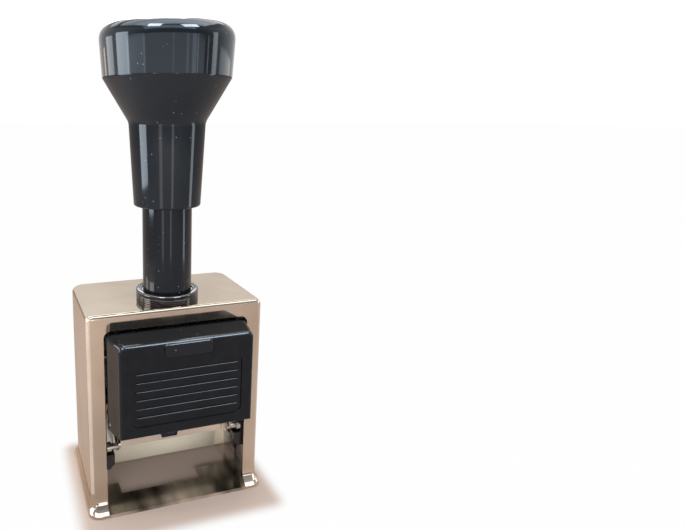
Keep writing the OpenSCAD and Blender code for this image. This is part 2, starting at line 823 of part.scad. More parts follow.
// The right plate has an opening for the cam pin's swing
module side_plate_right() {
    swing_room = 0.6;
    room = cam_pin_r + swing_room;
    half = cam_arm * sin(rocker_swing / 2) + room;
    low = wheel_z + cam_arm * cos(rocker_swing / 2) - room;
    high = wheel_z + cam_arm + room;
    color("silver") difference() {
        side_plate();
        along_x(plate_gap_half - over, side_out + over) polygon(rounded(
            box_points(wheel_axis_y - half, low, wheel_axis_y + half, high), [1, 1, 1, 1]));
    }
}

module side_screws() {
    depth = 4;
    color("gray") both_sides() {
        for (y = bridge_screw_y) screw_x(plate_gap_half - depth, side_out, y, bridge_screw_z);
        screw_x(plate_gap_half - depth, side_out, tie_y, tie_mid_z);
    }
}

// Plate in front of the bridge, with two legs down to the cover's hinge
module front_frame() {
    color("black") difference() {
        union() {
            translate([-side_out, frame_front_y, frame_low_z])
                cube([2 * side_out, frame_t - seat_fit, frame_h]);
            translate([-leg_out, frame_front_y, frame_ear_z])
                cube([2 * leg_out, frame_t - seat_fit, bridge_top_z - frame_ear_z]);
            both_sides() along_x(leg_in, leg_out) polygon(rounded([
                [leg_front_y, hinge_z - leg_foot_r], [leg_rear_y, hinge_z - leg_foot_r],
                [leg_rear_y, frame_ear_z],
                [side_front_y - seat_fit, frame_ear_z], [side_front_y - seat_fit, leg_top_z],
                [leg_front_y, leg_top_z]
            ], [1.5, 1.5, 0, 0, 1, 1]));
        }
        both_sides() bar_x(leg_in - over, leg_out + over, hinge_y, hinge_z, hinge_pin_r + seat_fit);
        for (x = [-frame_screw_x, frame_screw_x])
            bar_y(frame_front_y - over, side_front_y + over, x, bridge_screw_z, screw_r + seat_fit);
    }
}

module frame_screws() {
    depth = 4;
    head = 0.8;
    color("gray") for (x = [-frame_screw_x, frame_screw_x]) {
        bar_y(frame_front_y - seat_fit, side_front_y + depth, x, bridge_screw_z, screw_r);
        bar_y(frame_front_y - seat_fit - head, frame_front_y - seat_fit, x, bridge_screw_z, screw_head_r);
    }
}

module wheel_axle() {
    color("silver") bar_x(-arm_out, arm_out, wheel_axis_y, wheel_z, axle_r);
}

// Eccentric bushes on the side plates: the left one is longer and holds the carrier's spring
module carrier_bush(length) {
    end = arm_out + pass_gap + length;
    difference() {
        union() {
            bar_x(side_out + seat_fit, end, pivot_y, pivot_z, bush_r);
            bar_x(end - seat_fit, end + bush_flange_t, pivot_y, pivot_z, bush_r + bush_flange_ring);
        }
        bar_x(side_out - over, arm_out + lay_gap, wheel_axis_y, wheel_z, axle_r + seat_fit);
    }
}

carrier_spring_len = carrier_turns * carrier_pitch + carrier_wire - pass_gap + 0.2;

module carrier_bushes() {
    color("goldenrod") {
        carrier_bush(0);
        mirror([1, 0, 0]) carrier_bush(carrier_spring_len);
    }
}

module tie_bar() {
    half = plate_gap_half - seat_fit;
    bolt_depth = 5;
    color("silver") difference() {
        translate([-half, tie_y - tie_w / 2, tie_z]) cube([2 * half, tie_w, tie_w]);
        both_sides() bar_x(half - bolt_depth, half + over, tie_y, tie_mid_z, screw_r + seat_fit);
    }
}

// Leaf spring under the tie bar: one finger reaches the ratchet ring of each wheel
module detent_comb() {
    tip = about_axle(ratchet_r + pass_gap + 0.1, detent_angle);
    root = [tie_y - tie_w / 2, tie_z - detent_t];
    way = unit(root - tip);
    across = detent_t * [way[1], -way[0]];
    color("silver") {
        along_x(wheels_x - wheels_half, wheels_x + wheels_half) polygon(box_points(
            tie_y - tie_w / 2 - 0.5, tie_z - detent_t, tie_y + tie_w / 2, tie_z));
        for (i = [1:WHEEL_COUNT]) {
            mid = ratchet_mid_x(i);
            along_x(mid - finger_w / 2, mid + finger_w / 2)
                polygon([tip, tip + across, root + across + way * 0.4, root + way * 0.4]);
        }
    }
}

module cover_pins() {
    head = 0.2;
    color("silver") both_sides()
        bar_x(leg_in + head, cover_outer_half(hinge_y) - 0.1, hinge_y, hinge_z, hinge_pin_r);
}

function ratchet_mid_x(i) = wheel_x(i) - wheel_w / 2 + drum_w + (wheel_w - drum_w) / 2;

// A drum with ten type faces on its left and a ratchet ring on its right
module number_wheel(i) {
    left = wheel_x(i) - wheel_w / 2;
    step = 360 / FIGURES;
    back = 4;
    teeth = [
        for (k = [0:FIGURES - 1]) each [
            ratchet_r * [cos(k * step), sin(k * step)],
            (ratchet_r - ratchet_depth) * [cos(k * step + back), sin(k * step + back)]
        ]
    ];
    color("silver") translate([left, wheel_axis_y, wheel_z]) difference() {
        union() {
            rotate([0, 90, 0]) cylinder(h = drum_w, r = drum_r);
            intersection() {
                rotate([0, 90, 0]) cylinder(h = drum_w, r = type_r);
                for (k = [0:FIGURES - 1]) rotate([k * step, 0, 0])
                    translate([(drum_w - type_w) / 2, -type_tall / 2, -type_r - 1])
                        cube([type_w, type_tall, type_r - drum_r + 2]);
            }
            along_x(drum_w - 0.5, wheel_w) polygon(teeth);
        }
        translate([-over, 0, 0]) rotate([0, 90, 0]) cylinder(h = wheel_w + 2 * over, r = axle_r + run_fit);
    }
}

// One arm of the carrier in the side view: a ring on the bush, a fork and a web to the tray
module carrier_arm() {
    web_top = pivot_z - hub_r * 0.5;
    difference() {
        union() {
            translate([pivot_y, pivot_z]) circle(r = hub_r);
            translate([pivot_y, pivot_z]) rotate(fork_angle)
                polygon(rounded(box_points(0, -fork_half, fork_len, fork_half), [0, 1, 1, 0]));
            polygon([
                [tray_front_y, tray_z], [tray_rear_y, tray_z], [tray_rear_y, tray_z + tray_lip_h],
                [pivot_y + hub_r * 0.8, web_top], [pivot_y - hub_r * 0.8, web_top],
                [tray_front_y, tray_z + tray_lip_h]
            ]);
        }
        translate([pivot_y, pivot_z]) circle(r = bush_r + run_fit);
        translate([pivot_y, pivot_z]) rotate(fork_angle)
            polygon(box_points(hub_r + fork_tine, -fork_slot_half, fork_len + over, fork_slot_half));
    }
}

module ink_carrier() {
    lip_z = tray_z + tray_lip_h;
    color("silver") {
        both_sides() along_x(arm_in, arm_out) carrier_arm();
        translate([-arm_out, tray_front_y, tray_z]) cube([2 * arm_out, tray_d, carrier_t]);
        difference() {
            translate([-arm_out, tray_front_y, tray_z]) cube([2 * arm_out, carrier_t, tray_lip_h]);
            along_y(tray_front_y - over, tray_front_y + carrier_t + over) polygon([
                [-tray_notch_w / 2, tray_z + carrier_t], [tray_notch_w / 2, tray_z + carrier_t],
                [tray_notch_w / 2 + 1, lip_z + 1], [-tray_notch_w / 2 - 1, lip_z + 1]
            ]);
        }
        translate([-arm_out, tray_rear_y - carrier_t, tray_z]) cube([2 * arm_out, carrier_t, tray_lip_h]);
    }
}

module ink_pad() {
    play = 0.2;
    margin = carrier_t + play;
    half_w = arm_in - play;
    color("midnightblue") translate([-half_w, tray_front_y + margin, tray_z + carrier_t])
        cube([2 * half_w, tray_d - 2 * margin, pad_t]);
}

carrier_heights = [[0, 0], [carrier_turns, carrier_turns * carrier_pitch]];

module carrier_spring() {
    gap = 0.3;
    color("dimgray") translate([-arm_out - lay_gap - carrier_wire / 2, pivot_y, pivot_z]) rotate([0, -90, 0])
        wound_wire(bush_r + gap + carrier_wire / 2, carrier_wire, carrier_turns, carrier_heights, 16);
}

// Half width of the cover's outside at a place along its depth
function cover_outer_half(y) = cover_rim_half
    + (cover_face_half - cover_rim_half) * (cover_rim_y - y) / cover_depth;

// Drafted box of the cover, drawn in by inset; the hollow runs out at the rear and below
module cover_form(inset, rear_y, low) {
    rim = cover_rim_half - inset;
    face = cover_face_half - inset;
    slope = (rim - face) / cover_depth;
    top_slope = (cover_top_z - cover_face_top_z) / cover_depth;
    face_y = cover_face_y + inset;
    wide = rim + slope * (rear_y - cover_rim_y);
    near = face + slope * inset;
    high = cover_top_z - inset + top_slope * (rear_y - cover_rim_y);
    face_top = cover_face_top_z - inset + top_slope * inset;
    edge_r = max(cover_edge_r - inset, cover_lip_r);
    side_r = max(cover_side_r - inset, cover_lip_r);
    corner_more = 0.6;
    top_r = edge_r + corner_more;
    intersection() {
        translate([0, 0, cover_low_z - 5]) linear_extrude(cover_top_z) polygon(rounded(
            [[-wide, rear_y], [-near, face_y], [near, face_y], [wide, rear_y]], [0, side_r, side_r, 0]));
        along_x(-wide, wide) polygon(rounded([
            [rear_y, cover_low_z - low], [rear_y, high], [face_y, face_top], [face_y, cover_face_low_z - low]
        ], [0, 0, edge_r, low > 0 ? 0 : cover_lip_r]));
        along_y(face_y - over, rear_y + over) polygon(rounded(
            box_points(-wide, cover_low_z - low, wide, high), [0, 0, top_r, top_r]));
    }
}

module front_cover() {
    panel_margin = [3.5, 3, 2];
    panel_half = cover_face_half - panel_margin[0];
    panel_low = cover_face_low_z + panel_margin[1];
    panel_top = cover_face_top_z - tab_h - panel_margin[2];
    panel_r = 2;
    rib_h = 1;
    rib_step = (panel_top - panel_low) / (panel_ribs + 1);
    rib_inset = 1.2;
    tab_over = 0.9;
    tab_top = cover_face_top_z + tab_over;
    color("black") {
        difference() {
            cover_form(0, cover_rim_y, 0);
            cover_form(cover_wall, cover_rim_y + over, 3 * over);
            both_sides() bar_x(leg_out, cover_rim_half + over, hinge_y, hinge_z, hinge_pin_r + run_fit);
            along_y(cover_face_y - over, cover_face_y + panel_depth) polygon(rounded(
                box_points(-panel_half, panel_low, panel_half, panel_top), panel_r * [1, 1, 1, 1]));
        }
        for (i = [1:panel_ribs])
            translate([-panel_half + rib_inset, cover_face_y, panel_low + i * rib_step - rib_h / 2])
                cube([2 * (panel_half - rib_inset), panel_depth + 0.2, rib_h]);
        along_y(cover_face_y - tab_out, cover_face_y + cover_wall + 0.5) polygon(rounded(
            box_points(-tab_w / 2, tab_top - tab_h, tab_w / 2, tab_top), [0.8, 0.8, 0.8, 0.8]));
    }
}

// Flat lever from the rocker's hub out to a pin
module rocker_lever(x0, x1, reach, angle, pin_r) {
    end_ring = 1.3;
    end_r = pin_r + end_ring;
    along_x(x0, x1) difference() {
        union() {
            translate([wheel_axis_y, wheel_z]) circle(r = rocker_hub_r);
            translate([wheel_axis_y, wheel_z]) rotate(angle)
                polygon(box_points(0, -rocker_arm_half, reach, rocker_arm_half));
            translate(about_axle(reach, angle)) circle(r = end_r);
        }
        translate([wheel_axis_y, wheel_z]) circle(r = axle_r + run_fit);
        translate(about_axle(reach, angle)) circle(r = pin_r);
    }
}

module drive_rocker() {
    color("slategray") {
        rocker_lever(rocker_x, rocker_x + rocker_t, pawl_arm, pawl_angle, pawl_rod_r + run_fit);
        rocker_lever(cam_pin_x, cam_pin_x + rocker_t, cam_arm, rocker_rest, cam_pin_r + seat_fit);
        difference() {
            bar_x(rocker_x, rocker_end_x, wheel_axis_y, wheel_z, rocker_hub_r - 0.6);
            bar_x(rocker_x - over, rocker_end_x + over, wheel_axis_y, wheel_z, axle_r + run_fit);
        }
    }
}

module cam_pin() {
    p = about_axle(cam_arm, rocker_rest);
    color("silver") bar_x(cam_pin_x - 0.6, block_in - 0.2, p[0], p[1], cam_pin_r);
}

module pawl_rod() {
    color("silver") bar_x(wheels_x - wheels_half, rocker_x + rocker_t + 3, pawl_y, pawl_z, pawl_rod_r);
}

// A bar behind the wheels with one tooth for each ratchet ring, drawn lifted off the teeth
module feed_pawl() {
    tip = about_axle(ratchet_r + pass_gap, pawl_tip_angle);
    heel = about_axle(ratchet_r + pass_gap + 1.4, pawl_tip_angle + 4);
    hub = [pawl_y, pawl_z];
    way = unit(tip - hub);
    across = [way[1], -way[0]];
    color("slategray") difference() {
        union() {
            bar_x(wheels_x - wheels_half + 0.3, rocker_x - pass_gap, pawl_y, pawl_z, pawl_hub_r);
            for (i = [1:WHEEL_COUNT]) {
                mid = ratchet_mid_x(i);
                along_x(mid - tooth_t / 2, mid + tooth_t / 2)
                    polygon([tip, hub + across * 1.2, hub - across * 1.6, heel]);
            }
        }
        bar_x(wheels_x - wheels_half - over, rocker_x + over, pawl_y, pawl_z, pawl_rod_r + seat_fit);
    }
}

pawl_wire = 0.4;
pawl_turns = 3;
pawl_heights = [[0, 0], [pawl_turns, pawl_turns * (pawl_wire + turn_space)]];

module pawl_spring() {
    gap = 0.2;
    start_x = rocker_x + rocker_t + pawl_wire / 2 + lay_gap;
    color("dimgray") translate([start_x, pawl_y, pawl_z]) rotate([0, 90, 0])
        wound_wire(pawl_rod_r + gap + pawl_wire / 2, pawl_wire, pawl_turns, pawl_heights, 12);
}

// Set the housing's middle behind the origin
module placed() {
    translate([0, housing_y, 0]) children();
}

placed() housing();
placed() base_plate();
placed() guide_tube();
placed() collar_nut();
placed() return_spring();
placed() cam_block_left();
placed() cam_block_right();
placed() wall_rivets();
placed() swing_pins();
placed() drive_cam();
placed() drive_cam_screws();
placed() grip();
placed() grip_insert();
placed() plunger_rod();
placed() rod_nut();
placed() stop_buffer();
placed() bridge();
placed() side_plate_left();
placed() side_plate_right();
placed() guide_stud();
placed() side_screws();
placed() front_frame();
placed() frame_screws();
placed() wheel_axle();
placed() carrier_bushes();
placed() tie_bar();
placed() detent_comb();
placed() cover_pins();
placed() ink_carrier();
placed() ink_pad();
placed() carrier_spring();
placed() front_cover();
placed() drive_rocker();
placed() cam_pin();
placed() pawl_rod();
placed() feed_pawl();
placed() pawl_spring();
for (i = [1:WHEEL_COUNT]) placed() number_wheel(i);
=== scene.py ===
import json
import math

import bmesh
import bpy
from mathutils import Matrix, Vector


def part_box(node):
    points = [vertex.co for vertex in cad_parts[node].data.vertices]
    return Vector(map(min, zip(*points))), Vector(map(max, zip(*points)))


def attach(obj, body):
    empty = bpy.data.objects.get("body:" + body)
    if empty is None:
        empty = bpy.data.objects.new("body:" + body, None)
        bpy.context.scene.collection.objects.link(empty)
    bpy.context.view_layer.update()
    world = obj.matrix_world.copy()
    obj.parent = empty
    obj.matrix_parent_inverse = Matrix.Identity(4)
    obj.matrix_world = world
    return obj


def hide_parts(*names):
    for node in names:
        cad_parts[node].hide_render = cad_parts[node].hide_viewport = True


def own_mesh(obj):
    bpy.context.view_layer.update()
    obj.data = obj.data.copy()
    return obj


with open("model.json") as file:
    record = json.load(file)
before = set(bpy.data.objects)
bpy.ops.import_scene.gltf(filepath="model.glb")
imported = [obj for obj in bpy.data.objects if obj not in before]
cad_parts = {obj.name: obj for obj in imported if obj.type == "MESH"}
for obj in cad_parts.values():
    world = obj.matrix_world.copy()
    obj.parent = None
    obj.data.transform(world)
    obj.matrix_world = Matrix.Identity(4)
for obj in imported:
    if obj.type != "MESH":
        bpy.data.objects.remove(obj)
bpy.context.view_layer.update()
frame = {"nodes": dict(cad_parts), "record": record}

# Sizes are in millimetres, measured from the middle of the housing's foot
MM = 0.001
HOUSING_Y = sum(corner.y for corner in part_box("housing")) / 2 / MM


def span(node):
    """Lowest and highest corner of a CAD node."""
    middle = Vector((0, HOUSING_Y, 0))
    return [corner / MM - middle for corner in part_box(node)]


def bar_of(node):
    """Place across and radius of a node that is round about a line along x."""
    low, high = span(node)
    middle = (low + high) / 2
    return middle.y, middle.z, (high.z - low.z) / 2


def place(point):
    """A point in the frame of the part, in metres."""
    return Vector((point[0], point[1] + HOUSING_Y, point[2])) * MM


# Clearances, the hair's breadth at a turned piece's axis and the reach of cutters past what they cut
SEAT_GAP, PIN_GAP, END_GAP, SLIDE_GAP = 0.02, 0.05, 0.1, 0.25
AXIS_R = 0.02
OVERCUT = 1.0

# Housing
BRIM_FRONT, BRIM_SIDE, BRIM_T, BRIM_FLARE_R, BRIM_CORNER_R = 2.95, 1.0, 1.0, 5.0, 3.5
BRIM_CORNER = span("housing")[1]
HOUSING_W = 2 * (BRIM_CORNER.x - BRIM_SIDE)
HOUSING_D = 2 * (BRIM_CORNER.y - BRIM_FRONT)
HOUSING_H = BRIM_CORNER.z
SHELL_WALL, SHELL_EASE = 1.0, 0.14
FRONT_EDGE_R, REAR_EDGE_R, SIDE_EDGE_R = 1.2, 2.5, 2.0
FRONT_CORNER_R, REAR_CORNER_R = 1.8, 4.5
WINDOW_HALF, WINDOW_TOP, WINDOW_R = 22.9, 60.0, 2.2
RIVET_Y, RIVET_Z, RIVET_R = bar_of("wall_rivets")

# Guide tube and collar nut
TUBE_LOW, TUBE_HIGH = span("guide_tube")
GRIP_AXIS_Y = (TUBE_LOW.y + TUBE_HIGH.y) / 2
TUBE_R, TUBE_BORE_R, TUBE_EDGE_R, FINE_EDGE_R = 7.7, 6.4, 0.4, 0.2
SPRING_SEAT = HOUSING_H - SHELL_WALL
FLANGE_TOP = SPRING_SEAT - END_GAP
ROD_BORE_R = span("plunger_rod")[1].x + PIN_GAP
COLLAR_HIGH = span("collar_nut")[1]
COLLAR_R, COLLAR_TOP, COLLAR_RIM_R = COLLAR_HIGH.x, COLLAR_HIGH.z, 0.5

# Grip
GRIP_LOW, GRIP_HIGH = span("grip")
GRIP_FOOT_R, GRIP_NECK_R, GRIP_CONE_R, GRIP_TOP_R = 10.3, 11.6, 19.15, GRIP_HIGH.x
GRIP_NECK_Z, GRIP_CONE_Z, GRIP_BAND_Z, GRIP_EDGE_Z = 119.7, 132.3, 142.4, 146.8
GRIP_CROWN_R, GRIP_CROWN_Z = 7.7, 147.55
GRIP_FOOT_EDGE_R, GRIP_HOLLOW_R, GRIP_SHOULDER_R, GRIP_EDGE_R = 0.6, 4.0, 1.2, 3.96
GRIP_BORE_R = TUBE_R + SLIDE_GAP
INSERT_LOW, INSERT_HIGH = span("grip_insert")
INSERT_R, INSERT_TOP = INSERT_HIGH.x + SEAT_GAP, INSERT_HIGH.z + END_GAP

# Front cover
TAB_HALF, TAB_LOW, TAB_TOP, TAB_R, TAB_OUT = 7.3, 54.4, 58.7, 0.9, 0.8
CAD_COVER_LOW, CAD_COVER_HIGH = span("front_cover")
RIM_Y, FACE_Y = CAD_COVER_HIGH.y, CAD_COVER_LOW.y + TAB_OUT
RIM_HALF, FACE_HALF = CAD_COVER_HIGH.x, 20.4
COVER_LOW, COVER_TOP, FACE_LOW, FACE_TOP = CAD_COVER_LOW.z, CAD_COVER_HIGH.z, 30.5, 59.0
COVER_WALL, COVER_EASE, COVER_OPEN_BELOW = 1.0, 0.18, 4.0
COVER_EDGE_R, COVER_SIDE_R, COVER_LIP_R, COVER_TOP_R = 0.95, 0.7, 0.2, 1.9
COVER_FOOT_R, COVER_LEAST_TOP_R = 0.1, 0.3
HINGE_Y, HINGE_Z, PIN_R = bar_of("cover_pins")
PANEL_HALF, PANEL_LOW, PANEL_TOP, PANEL_DEPTH, PANEL_R = 16.9, 33.5, 52.3, 0.4, 2.0
RIBS, RIB_HALF, RIB_END, RIB_R = 6, 0.5, 1.2, 0.24

# Number wheels
WHEELS, FIGURES_ROUND = 6, 10
AXLE_Y, AXLE_Z, TYPE_R = bar_of("number_wheel_1")
AXLE_BORE, DRUM_R, DRUM_W, DRUM_EDGE_R = 2.05, 8.9, 3.0, 0.15
RATCHET_R, RATCHET_DEPTH, RATCHET_SEAT, TOOTH_TURN = 7.4, 1.2, 0.3, 4
FIGURE_SIZE, FIGURE_WIDTH, FIGURE_ROOT, FIGURE_CLEAR = 5.4, 0.8, 0.1, 0.01

# Ink pad
PAD_LOW, PAD_HIGH = span("ink_pad")
PAD_CROWN, PAD_EDGE_DROP, PAD_RIPPLE, PAD_SKIN = 0.12, 0.5, 0.03, 0.06
PAD_COLUMNS, PAD_ROWS = 72, 18
# How steeply the felt falls off at its ends and at its sides
PAD_END_POWER, PAD_SIDE_POWER = 24, 10
# How far its two ripples turn from column to column and from row to row
PAD_WAVES = ((1.9, 0.7), (-0.4, 1.3))

# Return spring
SPRING_LOW, SPRING_HIGH = SPRING_SEAT + END_GAP, INSERT_LOW.z - END_GAP
SPRING_R, SPRING_WIRE, SPRING_TURNS = 4.95, 1.0, 12
CLOSED_GAP = 0.5
CLOSED_PITCH = SPRING_WIRE + CLOSED_GAP


# Outlines
def fillet(a, p, b, radius, steps):
    """Points that round the corner p between a and b."""
    if radius == 0:
        return [p]
    p = Vector(p)
    u = (Vector(a) - p).normalized()
    w = (Vector(b) - p).normalized()
    half = u.angle(w) / 2
    centre = p + (u + w).normalized() * radius / math.sin(half)
    s = p + u * radius / math.tan(half) - centre
    e = p + w * radius / math.tan(half) - centre
    start = math.atan2(s.y, s.x)
    turn = (math.atan2(e.y, e.x) - start + math.pi) % (2 * math.pi) - math.pi
    angles = [start + turn * i / steps for i in range(steps + 1)]
    return [(centre.x + radius * math.cos(t), centre.y + radius * math.sin(t)) for t in angles]


def rounded(corners, steps=8):
    """Closed outline from corners of (across, up, rounding)."""
    points = [corner[:2] for corner in corners]
    n = len(points)
    line = []
    for i in range(n):
        line += fillet(points[i - 1], points[i], points[(i + 1) % n], corners[i][2], steps)
    return line


def rounded_box(x0, y0, x1, y1, low_r, high_r, steps=8):
    """Upright rectangle with its two lower and its two upper corners rounded."""
    return rounded([(x0, y0, low_r), (x1, y0, low_r), (x1, y1, high_r), (x0, y1, high_r)], steps)


# Meshes
WELD, LEAST_EDGE = 1e-4, 1e-5


class Shape:
    """Points and faces of one piece, in millimetres."""

    def __init__(self):
        self.points = []
        self.faces = []

    def add(self, points, faces):
        """Points, and faces that count from the first of them."""
        base = len(self.points)
        self.points += [tuple(p) for p in points]
        self.faces += [tuple(base + i for i in f) for f in faces]

    def loft(self, rings, ends_meet=False):
        """Skin over closed rings that all have the same number of points."""
        n = len(rings[0])
        faces = []
        pairs = len(rings) if ends_meet else len(rings) - 1
        for k in range(pairs):
            a, b = k * n, (k + 1) % len(rings) * n
            faces += [(a + i, a + (i + 1) % n, b + (i + 1) % n, b + i) for i in range(n)]
        if not ends_meet:
            faces.append(tuple(range(n))[::-1])
            faces.append(tuple((len(rings) - 1) * n + i for i in range(n)))
        self.add([p for ring in rings for p in ring], faces)

    def turned(self, profile, axis_point, axis="z", steps=128):
        """Closed profile of (radius, height) turned about an axis along z or x."""
        rings = []
        for r, h in profile:
            ring = []
            for i in range(steps):
                a = 2 * math.pi * i / steps
                c, s = r * math.cos(a), r * math.sin(a)
                if axis == "z":
                    ring.append((axis_point[0] + c, axis_point[1] + s, h))
                else:
                    ring.append((h, axis_point[0] + c, axis_point[1] + s))
            rings.append(ring)
        self.loft(rings, ends_meet=True)

    def prism(self, outline, low, high, axis="y"):
        """Outline drawn in the two other axes, carried along x or y."""
        if axis == "y":
            rings = [[(p[0], v, p[1]) for p in outline] for v in (low, high)]
        else:
            rings = [[(v, p[0], p[1]) for p in outline] for v in (low, high)]
        self.loft(rings)

    def mesh(self, name):
        """Mesh in the frame of the part, with points that meet made one and faces turned outwards."""
        data = bpy.data.meshes.new(name)
        data.from_pydata([place(p) for p in self.points], [], self.faces)
        work = bmesh.new()
        work.from_mesh(data)
        bmesh.ops.remove_doubles(work, verts=work.verts, dist=WELD * MM)
        bmesh.ops.dissolve_degenerate(work, edges=work.edges, dist=LEAST_EDGE * MM)
        bmesh.ops.recalc_face_normals(work, faces=work.faces)
        work.to_mesh(data)
        work.free()
        return data

    def object(self, name):
        """Object in the scene with this mesh."""
        obj = bpy.data.objects.new(name, self.mesh(name))
        bpy.context.scene.collection.objects.link(obj)
        return obj


def round_bar(y, z, radius, half_length, steps=48):
    """Bar of round section along x."""
    turns = [2 * math.pi * i / steps for i in range(steps)]
    circle = [(y + radius * math.cos(t), z + radius * math.sin(t)) for t in turns]
    bar = Shape()
    bar.prism(circle, -half_length, half_length, axis="x")
    return bar


def baked(obj):
    """Replace an object's mesh with the mesh that its modifiers give."""
    graph = bpy.context.evaluated_depsgraph_get()
    graph.update()
    done = bpy.data.meshes.new_from_object(obj.evaluated_get(graph))
    done.name = obj.name
    obj.modifiers.clear()
    obj.data = done


def carve(obj, *cutters):
    """Take each cutter's shape away from an object."""
    for shape in cutters:
        tool = shape.object("cutter")
        step = obj.modifiers.new("carve", "BOOLEAN")
        step.object = tool
        step.solver = "EXACT"
        baked(obj)
        bpy.data.objects.remove(tool)


def ease(obj, width):
    """Round every sharp edge by a small width."""
    step = obj.modifiers.new("ease", "BEVEL")
    step.width = width * MM
    step.segments = 2
    step.limit_method = "ANGLE"
    step.angle_limit = math.radians(50)
    baked(obj)


def fix(obj, body, paints, nodes, sharp=32):
    """Shade a piece, paint it and set it on its body in place of its CAD nodes."""
    data = obj.data
    data.polygons.foreach_set("use_smooth", [True] * len(data.polygons))
    data.set_sharp_from_angle(angle=math.radians(sharp))
    even = obj.modifiers.new("even_normals", "WEIGHTED_NORMAL")
    even.keep_sharp = True
    even.weight = 90
    for paint in paints:
        data.materials.append(paint.material)
    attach(obj, body)
    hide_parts(*nodes)
    return obj


# Materials
# Levels between which the noise mostly lies, and how far a speck of dust fades out past its own size
NOISE_LEVELS = (0.3, 0.7)
SPECK_FADE = 1.6


class Paint:
    """A principled material whose colour, gloss and grain vary over the surface."""

    def __init__(self, name, **sockets):
        self.material = bpy.data.materials.new(name)
        self.material.use_nodes = True
        self.tree = self.material.node_tree
        self.shader = self.tree.nodes["Principled BSDF"]
        for socket, value in sockets.items():
            self.shader.inputs[socket.replace("_", " ")].default_value = value
        self.spot = self.tree.nodes.new("ShaderNodeTexCoord").outputs["Object"]

    def noise(self, scale, detail=3.0, stretch=None):
        """Grey noise with scale features a metre; stretch draws it out along an axis."""
        node = self.tree.nodes.new("ShaderNodeTexNoise")
        node.inputs["Scale"].default_value = scale
        node.inputs["Detail"].default_value = detail
        source = self.spot
        if stretch:
            mapping = self.tree.nodes.new("ShaderNodeMapping")
            mapping.inputs["Scale"].default_value = stretch
            self.tree.links.new(source, mapping.inputs["Vector"])
            source = mapping.outputs["Vector"]
        self.tree.links.new(source, node.inputs["Vector"])
        return node.outputs["Fac"]

    def between(self, value, low, high, at=NOISE_LEVELS):
        """Colours from low to high as the value runs between two levels."""
        ramp = self.tree.nodes.new("ShaderNodeValToRGB")
        ends = ramp.color_ramp.elements
        ends[0].position, ends[1].position = at
        ends[0].color, ends[1].color = (*low, 1), (*high, 1)
        self.tree.links.new(value, ramp.inputs["Fac"])
        return ramp.outputs["Color"]

    def colour(self, low, high, scale):
        """Colour that drifts between two tones."""
        made = self.between(self.noise(scale), low, high)
        self.tree.links.new(made, self.shader.inputs["Base Color"])
        return self

    def dust(self, low, high, scale, spacing, size, speck):
        """Colour with pale specks of dust, spaced out over the surface."""
        ground = self.between(self.noise(scale), low, high)
        cells = self.tree.nodes.new("ShaderNodeTexVoronoi")
        cells.inputs["Scale"].default_value = 1 / spacing
        self.tree.links.new(self.spot, cells.inputs["Vector"])
        mask = self.between(cells.outputs["Distance"], (1, 1, 1), (0, 0, 0), (size, size * SPECK_FADE))
        mix = self.tree.nodes.new("ShaderNodeMix")
        mix.data_type = "RGBA"
        mix.inputs["B"].default_value = (*speck, 1)
        self.tree.links.new(mask, mix.inputs["Factor"])
        self.tree.links.new(ground, mix.inputs["A"])
        self.tree.links.new(mix.outputs["Result"], self.shader.inputs["Base Color"])
        return self

    def stain(self, low, high, scale, stretch, fade):
        """Painted dark reflection: streaks of a darker colour, standing for shaded parts mirrored in the
        metal, that fade out towards the rear, between two places along y.
        """
        along = self.tree.nodes.new("ShaderNodeSeparateXYZ")
        self.tree.links.new(self.spot, along.inputs[0])
        shade_fade = self.tree.nodes.new("ShaderNodeMapRange")
        shade_fade.inputs["From Min"].default_value, shade_fade.inputs["From Max"].default_value = fade
        self.tree.links.new(along.outputs["Y"], shade_fade.inputs["Value"])
        total = self.tree.nodes.new("ShaderNodeMath")
        self.tree.links.new(self.noise(scale, stretch=stretch), total.inputs[0])
        self.tree.links.new(shade_fade.outputs["Result"], total.inputs[1])
        made = self.between(total.outputs[0], low, high)
        self.tree.links.new(made, self.shader.inputs["Base Color"])
        return self

    def gloss(self, low, high, scale, stretch=None):
        """Roughness that drifts between two levels."""
        node = self.tree.nodes.new("ShaderNodeMapRange")
        node.inputs["From Min"].default_value, node.inputs["From Max"].default_value = NOISE_LEVELS
        node.inputs["To Min"].default_value = low
        node.inputs["To Max"].default_value = high
        self.tree.links.new(self.noise(scale, stretch=stretch), node.inputs["Value"])
        self.tree.links.new(node.outputs["Result"], self.shader.inputs["Roughness"])
        return self

    def grain(self, scale, strength, depth, stretch=None, detail=2.0):
        """Fine unevenness of the surface, with its depth in millimetres."""
        node = self.tree.nodes.new("ShaderNodeBump")
        node.inputs["Strength"].default_value = strength
        node.inputs["Distance"].default_value = depth * MM
        self.tree.links.new(self.noise(scale, detail, stretch), node.inputs["Height"])
        self.tree.links.new(node.outputs["Normal"], self.shader.inputs["Normal"])
        return self


# Plated and plain steel
# The plating's tone drifts between a darker brown and a pale tan, partly at random and partly as a painted
# reflection of warm surroundings; pale specks of dust lie on it
plating = Paint("plating", Metallic=1.0, Specular_Tint=(0.88, 0.82, 0.76, 1.0)).dust(
    (0.46, 0.395, 0.33), (0.74, 0.655, 0.56), 26, 0.006, 0.014, (0.95, 0.93, 0.9))
plating.gloss(0.04, 0.09, 120).grain(18, 0.25, 0.4, detail=1.0)
